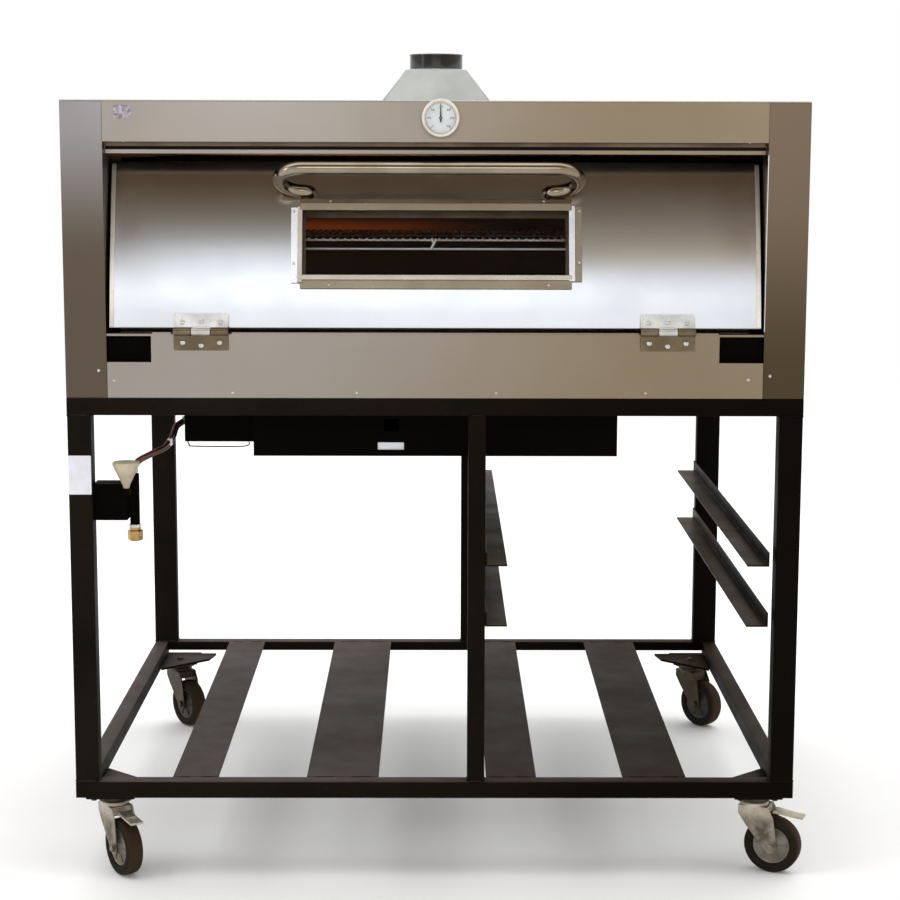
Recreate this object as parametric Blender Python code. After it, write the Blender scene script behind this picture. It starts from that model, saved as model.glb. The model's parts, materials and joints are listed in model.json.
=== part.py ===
"""A gas-fired deck pizza oven on a castered steel stand, built from its separate pieces.

Metres, +Z up, the door faces -Y. Every piece is placed in the oven's own layout, in which X = 0 is the
middle of the width, Y = 0 is the front face and Z = 0 is the floor. One empty then moves the whole
assembly so that the world origin lies under the middle of its bounding box.
"""

import math

import bmesh
import bpy
from mathutils import Matrix, Vector

# Driving dimensions
GAP = 0.0003  # between pieces that touch
CLEAR = 0.010  # how far a cutter runs past what it cuts
WIDTH = 1.250
DEPTH = 1.050
FLOOR_TO_STAND = 0.145
STAND_TOP = 0.848
OVEN_TOP = 1.346
BOX_CENTRE = (0.0145, 0.5064)  # middle of the bounding box in the layout
HALF = WIDTH / 2

# Stand
RAIL = 0.030
REAR_RAIL_HEIGHT = 0.020
TUBE_WALL = 0.002
FRONT_LEG = (0.040, 0.040)
REAR_LEG = (0.050, 0.030)
POST_X = (0.056, 0.086)
SLAT_THICKNESS = 0.004
SLATS_X = ((-0.460, -0.380), (-0.225, -0.099), (0.090, 0.178), (0.330, 0.441))
RUNNER_LEVELS = {"lower": 0.454, "upper": 0.560}
RUNNER_FLANGE = 0.038
RUNNER_WALL = 0.022
RUNNER_THICKNESS = 0.003
RUNNER_INSET = 0.004

# Casters
WHEEL_RADIUS = 0.050
WHEEL_WIDTH = 0.030
WHEEL_SIDES = 28
TRAIL = 0.035
CASTER_X = 0.567
CASTER_INSET = 0.055
CASTER_YAW = {"front_left": -56, "front_right": -24, "rear_left": -52, "rear_right": -50}
FORK_GAP = 0.036
FORK_PLATE = 0.003
FORK_CROWN = ((0.030, 0.1200), (-0.024, 0.1200), (-0.024, 0.105), (-0.010, 0.085))
FORK_BOSS = 0.013
CROWN_X = (-0.0235, 0.0295)
CROWN_TOP = 0.1205
DISC_RADIUS = 0.0255
SWIVEL_TOP = 0.1267
AXLE_END = ((0, 0.0265), (0.0075, 0.0265), (0.0075, 0.0200), (0.0045, 0.0200))
AXLE_BORE = 0.005
HUB_RADIUS = 0.012
RIM_RADIUS = 0.032
GUSSET = ((0, 0), (0.105, 0), (0.095, 0.050), (0, 0.135))
GUSSET_THICKNESS = 0.0037
PLATE_HALF = (0.042, 0.048)
PLATE_THICKNESS = 0.004
KINGPIN_RADIUS = 0.006
KINGPIN_NUT = (0.010, 0.1115, 0.1167)  # radius, bottom and top
RACE_RADII = (0.027, 0.030)
RACE_SHOULDER = 0.136
PEDAL_PIVOT = (0.040, 0.1105)
PEDAL_LENGTH = 0.050
PEDAL_WIDTH = 0.024

# Oven body
SHEET = 0.002
COLUMN = 0.070
COLUMN_RETURN = 0.060
TOP_FASCIA_BOTTOM = 1.2775
LINTEL_BOTTOM = 1.258
LINTEL_SETBACK = 0.027
SILL = 0.957
SILL_DEPTH = 0.024
NOTCH_X = 0.480
NOTCH_Z = (0.909, 0.953)
CHAMBER_HALF = 0.540
CHAMBER_FRONT = 0.020
LEDGE_FRONT = 0.085
MOUTH_GAP = 0.004
CHAMBER_ROOF = 1.250
CHAMBER_BACK = 0.985
STONE_THICKNESS = 0.030
LEDGE = 0.040
RACK_LEVEL = 1.107
RACK_DEPTH = (0.185, 0.560)
RACK_WIRES = 84
RACK_SHELF = (0.015, 0.003)
RACK_DROP = 0.018
RACK_LINK = 0.006
WIRE = 0.0035
HEAT_PORT = 0.120
HEAT_PORTS_X = (-0.180, 0, 0.180)
HEAT_PORTS_Y = (0.280, 0.520, 0.760)
FLUE_Y = 0.525
FLUE_HOLE = 0.045
HOOD_HOLE = 0.033
HOOD_BASE = 0.210
HOOD_TOP = 0.114
HOOD_HEIGHT = 0.0665
COLLAR_RADIUS = 0.050
COLLAR_HEIGHT = 0.030
COLLAR_WALL = 0.0025

# Door, measured in its own frame: x along the width, z up the door from the hinge, y into the oven
HINGE_Y = -0.0062
HINGE_Z = 0.961
DOOR_TILT = math.radians(14.4)
DOOR_HALF = 0.551
DOOR_Z = (0.0115, 0.2940)
DOOR_FACE = 0.0068
DOOR_BULGE = 0.006
BULGE_START = 0.034
DOOR_SHEET = 0.0015
DOOR_DEPTH = 0.030
PLUG_HALF = 0.531
PLUG_Z = (0.0150, 0.2740)
WINDOW_HALF = 0.225
WINDOW_Z = (0.0963, 0.2067)
WINDOW_INSET = 0.003
LIP = 0.0125
FLANGE = 0.010
FRAME_BACK = -0.0005
FRAME_PROUD = 0.010
GLASS_THICKNESS = 0.004
REBATE = 0.007
HANDLE_X = -0.011
HANDLE_RADIUS = 0.011
HANDLE_WALL = 0.0015
HANDLE_BAR = (-0.0875, 0.2600)
HANDLE_FOOT = (-0.0090, 0.2405)
HANDLE_STRAIGHT = 0.2100
CURL_STEPS = 8

# Hinges
HINGES_X = {"left": -0.395, "right": 0.392}
LEAF_HALF = 0.0465
KNUCKLE_RADIUS = 0.0065
KNUCKLE_HALF = 0.0162
PIN_RADIUS = 0.0030
LEAF_THICKNESS = 0.002
LEAF_START = 0.0078
LEAF_END = 0.032

# Thermometer
DIAL = (0.008, 1.317)
DIAL_RADIUS = 0.0315
DIAL_PROUD = 0.018
DIAL_RECESS = 0.008
STEM_RADIUS = 0.004
STEM_LENGTH = 0.070
POST_RADIUS = 0.0008
NEEDLE_TIP = 0.0235
NEEDLE_TAIL = 0.0070
NEEDLE_HUB = 0.0026

# Burner and gas train
BURNER_BOX = ((-0.318, 0.100, 0.734), (0.318, 0.950, 0.8455))
BURNER_FLANGE = 0.020
INTAKE_BOX = ((-0.444, 0.150, 0.752), (-0.310, 0.330, 0.8455))
INTAKE_INNER_TOP = 0.838
SIGHT_HOLE = ((-0.091, 0.777), (-0.063, 0.800))  # X and Z of two corners
AIR_SLOT = ((-0.101, 0.745), (-0.055, 0.758))
BURNER_TUBE_RADIUS = 0.016
BURNER_LEVEL = 0.792
BURNER_START_X = -0.410
BURNER_BEND_X = 0.180
BURNER_END_X = -0.240
BURNER_RUN_Y = (0.240, 0.780)
BURNER_BEND = 0.060
PIPE_X = -0.5185
PIPE_Y = 0.040
PIPE_RADIUS = 0.0085
PIPE_Z = (0.619, 0.7125)
VALVE_BLOCK = ((0.012, 0.635), (-0.527, 0.056, 0.698))  # Y and Z, then a whole corner
VALVE_BRANCH = ((-0.528, 0.022, 0.643), (PIPE_X, 0.054, 0.685))
KNOB_AT = (-0.527, 0.004, 0.692)
KNOB_PROFILE = (
    (0, 0),
    (0.0042, 0),
    (0.0060, 0.006),
    (0.0225, 0.040),
    (0.0230, 0.045),
    (0.0190, 0.046),
    (0, 0.043),
)
KNOB_BOSS = 0.006
KNOB_BOSS_Y = (-0.004, 0.030)
NUT_BOTTOM = 0.5955
NUT_RADIUS = 0.0135
NUT_CHAMFER = 0.002
TUBE_RADII = (0.004, 0.0028)
TUBE_ENTRY = (0.205, 0.788)  # Y and Z of the supply's way into the intake box
TUBE_ENTRY_RADIUS = 0.007
TUBE_BENDS = (
    (0.000, 0.000, 0.000),
    (0.000, 0.000, 0.010),
    (0.006, 0.006, 0.021),
    (0.026, 0.030, 0.030),
    (0.044, 0.070, 0.036),
    (0.052, 0.112, 0.050),
    (0.055, 0.142, 0.063),
)
PILOT_ASIDE = (0.003, 0.010, -0.004)
CLIP_HALF = (0.0035, 0.0110, 0.0065)
CLIP_STEP = 9  # which point of the tube's path the clip holds

BLACK_PAINT = ("black_paint", (0.018, 0.016, 0.015), 0.45, 0.0)
STAINLESS = ("stainless", (0.50, 0.45, 0.40), 0.34, 1.0)
BRIGHT_STEEL = ("bright_steel", (0.72, 0.70, 0.66), 0.22, 1.0)
GALVANISED = ("galvanised", (0.66, 0.68, 0.67), 0.45, 0.8)
ENAMEL = ("black_enamel", (0.010, 0.010, 0.011), 0.12, 0.0)
ZINC = ("zinc", (0.70, 0.67, 0.58), 0.38, 0.9)
TYRE = ("tyre", (0.030, 0.026, 0.022), 0.75, 0.0)
CREAM = ("cream_plastic", (0.80, 0.76, 0.62), 0.40, 0.0)
WHITE_DIAL = ("white_dial", (0.86, 0.85, 0.80), 0.40, 0.0)
NEEDLE_BLACK = ("needle_black", (0.012, 0.012, 0.012), 0.40, 0.0)
BRASS = ("brass", (0.74, 0.52, 0.22), 0.28, 1.0)
COPPER = ("copper", (0.70, 0.36, 0.24), 0.30, 1.0)
GLASS = ("glass", (0.80, 0.82, 0.80), 0.05, 0.0)
REFRACTORY = ("refractory", (0.62, 0.53, 0.42), 0.90, 0.0)
CHAMBER_STEEL = ("chamber_steel", (0.30, 0.24, 0.18), 0.50, 1.0)


def clear_scene():
    for found in list(bpy.data.objects):
        bpy.data.objects.remove(found)


def material(paint):
    name, colour, roughness, metallic = paint
    made = bpy.data.materials.get(name)
    if made:
        return made
    made = bpy.data.materials.new(name)
    made.use_nodes = True
    shader = made.node_tree.nodes["Principled BSDF"]
    shader.inputs["Base Color"].default_value = (*colour, 1)
    shader.inputs["Roughness"].default_value = roughness
    shader.inputs["Metallic"].default_value = metallic
    made.diffuse_color = (*colour, 1)
    return made


def empty(name, location, rotation=(0, 0, 0), parent=None):
    made = bpy.data.objects.new(name, None)
    bpy.context.scene.collection.objects.link(made)
    made.location = location
    made.rotation_euler = rotation
    made.parent = parent
    return made


def piece(name, shape, paint, parent, location=(0, 0, 0), smooth=False):
    """An object made of a bmesh, whose corners are measured from location."""
    bmesh.ops.recalc_face_normals(shape, faces=shape.faces)
    mesh = bpy.data.meshes.new(name)
    shape.to_mesh(mesh)
    shape.free()
    if smooth:
        mesh.shade_smooth()
        mesh.set_sharp_from_angle(angle=math.radians(35))
    made = bpy.data.objects.new(name, mesh)
    bpy.context.scene.collection.objects.link(made)
    made.location = location
    made.parent = parent
    if paint:
        mesh.materials.append(material(paint))
    return made


def combine(target, shape, operation):
    """Joins a bmesh to an object, or cuts it out, by a Boolean with a hidden helper beside it."""
    helper = piece(f"{target.name}_{operation.lower()}", shape, None, target.parent, target.location)
    helper.hide_render = True
    helper.display_type = "WIRE"
    boolean = target.modifiers.new(operation.title(), "BOOLEAN")
    boolean.operation = operation
    boolean.solver = "EXACT"
    boolean.object = helper


def cut(target, shape):
    combine(target, shape, "DIFFERENCE")


def join(target, shape):
    combine(target, shape, "UNION")


def boxes(*corners):
    """A bmesh of closed boxes, each given by its lowest and highest corner."""
    shape = bmesh.new()
    for low, high in corners:
        size = Vector(high) - Vector(low)
        place = Matrix.Translation((Vector(low) + Vector(high)) / 2) @ Matrix.Diagonal((*size, 1))
        bmesh.ops.create_cube(shape, size=1, matrix=place)
    return shape


def prism(outline, axis, start, stop, shape=None):
    """An outline in the two other axes, in X, Y, Z order, extruded along axis from start to stop."""
    shape = shape or bmesh.new()
    index = "XYZ".index(axis)

    def corner(point, along):
        full = list(point)
        full.insert(index, along)
        return shape.verts.new(full)

    near = [corner(point, start) for point in outline]
    far = [corner(point, stop) for point in outline]
    shape.faces.new(near)
    shape.faces.new(far)
    for i in range(len(outline)):
        j = (i + 1) % len(outline)
        shape.faces.new((near[i], near[j], far[j], far[i]))
    return shape


def hollow_bar(low, high, axis, wall=TUBE_WALL):
    """A rectangular tube along axis, open at both ends."""
    shape = bmesh.new()
    index = "XYZ".index(axis)
    others = [i for i in range(3) if i != index]
    signs = ((0, 0), (1, 0), (1, 1), (0, 1))
    rings = []
    for inset in (0, wall):
        for along in (low[index], high[index]):
            ring = []
            for sign in signs:
                point = [0, 0, 0]
                point[index] = along
                for k, side in zip(others, sign):
                    point[k] = high[k] - inset if side else low[k] + inset
                ring.append(shape.verts.new(point))
            rings.append(ring)
    outer_near, outer_far, inner_near, inner_far = rings
    for first, second in (
        (outer_near, outer_far),
        (inner_far, inner_near),
        (inner_near, outer_near),
        (outer_far, inner_far),
    ):
        for i in range(4):
            j = (i + 1) % 4
            shape.faces.new((first[i], first[j], second[j], second[i]))
    return shape


def lathe(profile, sides, axis="Z", centre=(0, 0, 0), phase=0.0, closed=False):
    """Turns a profile of (radius, height) points about an axis. A radius of 0 is a pole."""
    shape = bmesh.new()
    index = "XYZ".index(axis)
    rings = []
    for radius, height in profile:
        ring = []
        for k in range(sides if radius else 1):
            angle = phase + 2 * math.pi * k / sides
            point = [radius * math.cos(angle), radius * math.sin(angle)]
            point.insert(index, height)
            ring.append(shape.verts.new(Vector(point) + Vector(centre)))
        rings.append(ring)
    pairs = list(zip(rings, rings[1:]))
    if closed:
        pairs.append((rings[-1], rings[0]))
    for first, second in pairs:
        for k in range(sides):
            n = (k + 1) % sides
            if len(first) == 1:
                shape.faces.new((first[0], second[k], second[n]))
            elif len(second) == 1:
                shape.faces.new((first[k], first[n], second[0]))
            else:
                shape.faces.new((first[k], first[n], second[n], second[k]))
    return shape


def cylinder(radius, start, stop, axis, centre, sides=16):
    phase = math.pi / sides
    return lathe([(0, start), (radius, start), (radius, stop), (0, stop)], sides, axis, centre, phase)


def sweep(path, radius, sides, wall=0.0):
    """A round bar along a path, or an open-ended tube if it has a wall."""
    shape = bmesh.new()
    points = [Vector(p) for p in path]
    count = len(points)
    tangents = [(points[min(i + 1, count - 1)] - points[max(i - 1, 0)]).normalized() for i in range(count)]
    side = tangents[0].orthogonal().normalized()
    frames = []
    for tangent in tangents:
        side = (side - tangent * side.dot(tangent)).normalized()
        frames.append((side, tangent.cross(side)))

    def ring(i, r):
        across, up = frames[i]
        turns = [2 * math.pi * k / sides for k in range(sides)]
        return [shape.verts.new(points[i] + r * (math.cos(a) * across + math.sin(a) * up)) for a in turns]

    def skin(first, second):
        for k in range(sides):
            n = (k + 1) % sides
            shape.faces.new((first[k], first[n], second[n], second[k]))

    outer = [ring(i, radius) for i in range(count)]
    for first, second in zip(outer, outer[1:]):
        skin(first, second)
    if wall:
        inner = [ring(i, radius - wall) for i in range(count)]
        for first, second in zip(inner, inner[1:]):
            skin(second, first)
        skin(inner[0], outer[0])
        skin(outer[-1], inner[-1])
    else:
        shape.faces.new(outer[0])
        shape.faces.new(outer[-1])
    return shape


def grid_plate(bars_x, bars_y, bottom, top):
    """A flat grating. Each list holds edges in rising order, which bound a bar, a gap, a bar and so on."""
    shape = bmesh.new()
    corners = {}

    def corner(i, j, level):
        key = (i, j, level)
        if key not in corners:
            corners[key] = shape.verts.new((bars_x[i], bars_y[j], level))
        return corners[key]

    def filled(i, j):
        inside = 0 <= i < len(bars_x) - 1 and 0 <= j < len(bars_y) - 1
        return inside and (i % 2 == 0 or j % 2 == 0)

    def wall(a, b):
        shape.faces.new((corner(*a, bottom), corner(*b, bottom), corner(*b, top), corner(*a, top)))

    for i in range(len(bars_x) - 1):
        for j in range(len(bars_y) - 1):
            if not filled(i, j):
                continue
            square = ((i, j), (i + 1, j), (i + 1, j + 1), (i, j + 1))
            for level in (bottom, top):
                shape.faces.new([corner(*at, level) for at in square])
            neighbours = ((i, j - 1), (i + 1, j), (i, j + 1), (i - 1, j))
            for k, beside in enumerate(neighbours):
                if not filled(*beside):
                    wall(square[k], square[(k + 1) % 4])
    return shape


def arc(centre, radius, start, stop, steps):
    """Points on a circle, with angles in degrees."""
    turns = [math.radians(start + (stop - start) * k / steps) for k in range(steps + 1)]
    return [(centre[0] + radius * math.cos(a), centre[1] + radius * math.sin(a)) for a in turns]


# Stand


def rail_ring(name, bottom, top, rear_bottom, access_top, parent):
    """Four welded square tubes whose inside opens into the legs that meet them."""
    wall = TUBE_WALL
    shape = boxes(((-HALF, 0, bottom), (HALF, DEPTH, top)))
    ring = piece(name, shape, BLACK_PAINT, parent)
    cut(ring, boxes(((-HALF + RAIL, RAIL, bottom - CLEAR), (HALF - RAIL, DEPTH - RAIL, top + CLEAR))))
    if rear_bottom > bottom:
        low = (-HALF + RAIL, DEPTH - 2 * RAIL, bottom - CLEAR)
        cut(ring, boxes((low, (HALF - RAIL, DEPTH + CLEAR, rear_bottom))))
    inner_bottom = bottom + wall
    inner_top = top - wall
    rear_inner = rear_bottom + wall
    front_run = ((-HALF + wall, wall, inner_bottom), (HALF - wall, RAIL - wall, inner_top))
    rear_run = ((-HALF + wall, DEPTH - RAIL + wall, rear_inner), (HALF - wall, DEPTH - wall, inner_top))
    cavity = piece(f"{name}_cavity", boxes(front_run), None, parent)
    cavity.hide_render = True
    cavity.display_type = "WIRE"
    join(cavity, boxes(rear_run))
    for side in (-1, 1):
        across = sorted((side * (HALF - wall), side * (HALF - RAIL + wall)))
        run = ((across[0], 2 * wall, inner_bottom), (across[1], DEPTH - 2 * wall, inner_top))
        join(cavity, boxes(run))
        access = sorted((side * (HALF - 3 * wall), side * (HALF - RAIL + 3 * wall)))
        span = (inner_top - wall, top + CLEAR) if access_top else (bottom - CLEAR, inner_bottom + wall)
        fronts = (3 * wall, RAIL - 3 * wall)
        rears = (DEPTH - RAIL + 3 * wall, DEPTH - 3 * wall)
        for near, far in (fronts, rears):
            join(cavity, boxes(((access[0], near, span[0]), (access[1], far, span[1]))))
    boolean = ring.modifiers.new("Cavity", "BOOLEAN")
    boolean.operation = "DIFFERENCE"
    boolean.solver = "EXACT"
    boolean.object = cavity
    return ring


def legs_and_posts(parent):
    bottom = FLOOR_TO_STAND + RAIL + GAP
    top = STAND_TOP - RAIL - GAP
    for side, sign in (("left", -1), ("right", 1)):
        for end, (across, along) in (("front", FRONT_LEG), ("rear", REAR_LEG)):
            xs = sorted((sign * HALF, sign * (HALF - across)))
            ys = (0, along) if end == "front" else (DEPTH - along, DEPTH)
            shape = hollow_bar((xs[0], ys[0], bottom), (xs[1], ys[1], top), "Z")
            piece(f"stand_leg_{end}_{side}", shape, BLACK_PAINT, parent)
    for end, ys in (("front", (0, RAIL)), ("rear", (DEPTH - RAIL, DEPTH))):
        shape = hollow_bar((POST_X[0], ys[0], bottom), (POST_X[1], ys[1], top), "Z")
        piece(f"stand_centre_post_{end}", shape, BLACK_PAINT, parent)


def slats(parent):
    top = FLOOR_TO_STAND + RAIL
    ys = (RAIL + GAP, DEPTH - RAIL - GAP)
    for number, (left, right) in enumerate(SLATS_X, 1):
        shape = boxes(((left, ys[0], top - SLAT_THICKNESS), (right, ys[1], top)))
        piece(f"shelf_slat_{number}", shape, BLACK_PAINT, parent)


def tray_runners(parent):
    """Angle irons along both sides of the right-hand bay, to slide trays in on."""
    sides = {"left": (POST_X[1] + GAP, 1), "right": (HALF - REAR_LEG[0] - GAP, -1)}
    for side, (wall_x, inward) in sides.items():
        for level_name, level in RUNNER_LEVELS.items():
            thick = RUNNER_THICKNESS
            tip = wall_x + inward * RUNNER_FLANGE
            web = wall_x + inward * thick
            outline = [
                (wall_x, level - thick),
                (tip, level - thick),
                (tip, level),
                (web, level),
                (web, level + RUNNER_WALL),
                (wall_x, level + RUNNER_WALL),
            ]
            shape = prism(outline, "Y", RUNNER_INSET, DEPTH - RUNNER_INSET)
            piece(f"tray_runner_{side}_{level_name}", shape, BLACK_PAINT, parent)


# Casters


def caster_plate(name, corner_x, corner_y, parent):
    """The corner gusset with the caster's top plate, its bearing race and the kingpin."""
    along_x = -1 if corner_x > 0 else 1
    along_y = 1 if corner_y < DEPTH / 2 else -1
    inner = Vector((corner_x * (HALF - RAIL - GAP), RAIL + GAP))
    if along_y < 0:
        inner.y = DEPTH - RAIL - GAP
    placed = [(inner.x + along_x * x, inner.y + along_y * y) for x, y in GUSSET]
    plate_top = FLOOR_TO_STAND - GAP
    gusset = prism(placed, "Z", plate_top - 0.001, plate_top + GUSSET_THICKNESS)
    pivot = Vector((corner_x * CASTER_X, CASTER_INSET if along_y > 0 else DEPTH - CASTER_INSET))
    made = piece(name, gusset, BLACK_PAINT, parent)
    plate_low = (pivot.x - PLATE_HALF[0], pivot.y - PLATE_HALF[1], plate_top - PLATE_THICKNESS)
    plate_high = (pivot.x + PLATE_HALF[0], pivot.y + PLATE_HALF[1], plate_top)
    join(made, boxes((plate_low, plate_high)))
    nut_radius, nut_bottom, nut_top = KINGPIN_NUT
    race_top = plate_top - PLATE_THICKNESS / 2
    race = [
        (0, nut_bottom),
        (nut_radius, nut_bottom),
        (nut_radius, nut_top),
        (KINGPIN_RADIUS, nut_top),
        (KINGPIN_RADIUS, SWIVEL_TOP + GAP),
        (RACE_RADII[0], SWIVEL_TOP + GAP),
        (RACE_RADII[1], RACE_SHOULDER),
        (RACE_RADII[1], race_top),
        (0, race_top),
    ]
    join(made, lathe(race, 16, "Z", (pivot.x, pivot.y, 0)))
    return pivot


def fork_outline():
    """Side view of a fork leg: wide under the crown and round about the axle."""
    boss = arc((TRAIL, WHEEL_RADIUS), FORK_BOSS, 200, 380, 6)
    return [*FORK_CROWN, *boss, (0.040, 0.100)]


def caster_fork(name, pivot_empty):
    half_gap = FORK_GAP / 2
    outer = half_gap + FORK_PLATE
    shape = boxes(((CROWN_X[0], -outer, CROWN_TOP - FORK_PLATE), (CROWN_X[1], outer, CROWN_TOP)))
    made = piece(name, shape, ZINC, pivot_empty, smooth=True)
    legs = prism(fork_outline(), "Y", -outer, -half_gap)
    prism(fork_outline(), "Y", half_gap, outer, legs)
    join(made, legs)
    disc = cylinder(DISC_RADIUS, CROWN_TOP - FORK_PLATE / 2, SWIVEL_TOP, "Z", (0, 0, 0), 20)
    join(made, disc)
    bore = KINGPIN_RADIUS + 2 * GAP
    cut(made, cylinder(bore, CROWN_TOP - CLEAR, SWIVEL_TOP + CLEAR, "Z", (0, 0, 0), 12))
    bolt = [(radius, -height) for radius, height in AXLE_END]
    bolt += reversed(AXLE_END)
    join(made, lathe(bolt, 8, "Y", (TRAIL, 0, WHEEL_RADIUS), math.pi / 8))


def caster_wheel(name, pivot_empty):
    """Tyre, rim and hub turned about the axle, with a flat of the tread on the floor."""
    reach = WHEEL_RADIUS / math.cos(math.pi / WHEEL_SIDES)
    half = WHEEL_WIDTH / 2
    outer_half = [
        (AXLE_BORE, half + 0.0020),
        (HUB_RADIUS, half + 0.0020),
        (HUB_RADIUS + 0.0010, half - 0.0040),
        (RIM_RADIUS, half - 0.0040),
        (reach - 0.0060, half),
        (reach, half - 0.0080),
    ]
    profile = outer_half + [(radius, -height) for radius, height in reversed(outer_half)]
    shape = lathe(profile, WHEEL_SIDES, "Y", phase=math.pi / WHEEL_SIDES, closed=True)
    piece(name, shape, TYRE, pivot_empty, (TRAIL, 0, WHEEL_RADIUS), smooth=True)


def brake_pedal(name, pivot_empty):
    """A bent tread plate on a cross pin above the wheel."""
    tip = [(PEDAL_LENGTH, -0.007), (PEDAL_LENGTH, -0.003)]
    root = arc((0, 0), 0.004, 60, 180, 4)
    outline = [(-0.004, -0.002), (0.010, -0.002), *tip, (0.010, 0.002), *root]
    shape = prism(outline, "Y", -PEDAL_WIDTH / 2, PEDAL_WIDTH / 2)
    piece(name, shape, CREAM, pivot_empty, (PEDAL_PIVOT[0], 0, PEDAL_PIVOT[1]))


def casters(parent):
    for end in ("front", "rear"):
        for side, sign in (("left", -1), ("right", 1)):
            corner = f"{end}_{side}"
            corner_y = 0 if end == "front" else DEPTH
            pivot = caster_plate(f"caster_plate_{corner}", sign, corner_y, parent)
            turn = (0, 0, math.radians(CASTER_YAW[corner]))
            swivel = empty(f"swivel_{corner}", (pivot.x, pivot.y, 0), turn, parent)
            caster_fork(f"caster_fork_{corner}", swivel)
            caster_wheel(f"caster_wheel_{corner}", swivel)
            if end == "front":
                brake_pedal(f"brake_pedal_{side}", swivel)


# Oven body


def side_panel(side, parent):
    """Side sheet with the broad front column and the jamb folded back inside it."""
    sign = -1 if side == "left" else 1
    column_inner = HALF - COLUMN
    outline = [
        (HALF, 0),
        (HALF, DEPTH - SHEET - GAP),
        (HALF - SHEET, DEPTH - SHEET - GAP),
        (HALF - SHEET, SHEET),
        (column_inner + SHEET, SHEET),
        (column_inner + SHEET, COLUMN_RETURN),
        (column_inner, COLUMN_RETURN),
        (column_inner, 0),
    ]
    outline = [(sign * x, y) for x, y in outline]
    shape = prism(outline, "Z", STAND_TOP + GAP, OVEN_TOP - SHEET - GAP)
    piece(f"side_panel_{side}", shape, STAINLESS, parent)


def casing(parent):
    inside = HALF - SHEET - GAP
    bottom = STAND_TOP + GAP
    top = OVEN_TOP - SHEET
    rear = boxes(((-HALF, DEPTH - SHEET, bottom), (HALF, DEPTH, top - GAP)))
    piece("rear_panel", rear, STAINLESS, parent)
    lid = piece("top_panel", boxes(((-HALF, 0, top), (HALF, DEPTH, OVEN_TOP))), STAINLESS, parent)
    cut(lid, cylinder(FLUE_HOLE, top - CLEAR, OVEN_TOP + CLEAR, "Z", (0, FLUE_Y, 0), 24))
    front = SHEET + GAP
    back = DEPTH - SHEET - GAP
    jamb = HALF - COLUMN - GAP
    behind = COLUMN_RETURN + GAP
    outline = [(-jamb, front), (jamb, front), (jamb, behind), (inside, behind), (inside, back)]
    outline += [(-inside, back), (-inside, behind), (-jamb, behind)]
    base = piece("base_panel", prism(outline, "Z", bottom, bottom + SHEET), GALVANISED, parent)
    for x in HEAT_PORTS_X:
        for y in HEAT_PORTS_Y:
            low = (x - HEAT_PORT / 2, y - HEAT_PORT / 2, bottom - CLEAR)
            cut(base, boxes((low, (x + HEAT_PORT / 2, y + HEAT_PORT / 2, bottom + CLEAR))))


def fascias(parent):
    inside = HALF - COLUMN - GAP
    top = OVEN_TOP - SHEET - GAP
    outline = [
        (0, TOP_FASCIA_BOTTOM),
        (LINTEL_SETBACK - SHEET, TOP_FASCIA_BOTTOM),
        (LINTEL_SETBACK - SHEET, LINTEL_BOTTOM),
        (LINTEL_SETBACK, LINTEL_BOTTOM),
        (LINTEL_SETBACK, TOP_FASCIA_BOTTOM + SHEET),
        (SHEET, TOP_FASCIA_BOTTOM + SHEET),
        (SHEET, top),
        (0, top),
    ]
    upper = piece("top_fascia", prism(outline, "X", -inside, inside), STAINLESS, parent)
    cut(upper, cylinder(STEM_RADIUS + 2 * GAP, -CLEAR, CLEAR, "Y", (DIAL[0], 0, DIAL[1]), 12))
    bottom = STAND_TOP + GAP
    outline = [
        (0, bottom),
        (SHEET, bottom),
        (SHEET, SILL - SHEET),
        (SILL_DEPTH, SILL - SHEET),
        (SILL_DEPTH, SILL),
        (0, SILL),
    ]
    lower = piece("lower_fascia", prism(outline, "X", -inside, inside), STAINLESS, parent)
    for sign in (-1, 1):
        xs = sorted((sign * NOTCH_X, sign * (inside + CLEAR)))
        cut(lower, boxes(((xs[0], -CLEAR, NOTCH_Z[0]), (xs[1], CLEAR, NOTCH_Z[1]))))


def door_plane_y(height, offset):
    """Layout Y, at a given height, of the plane parallel to the door and offset inwards from its hinge."""
    return HINGE_Y + offset / math.cos(DOOR_TILT) + (height - HINGE_Z) * math.tan(DOOR_TILT)


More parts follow.
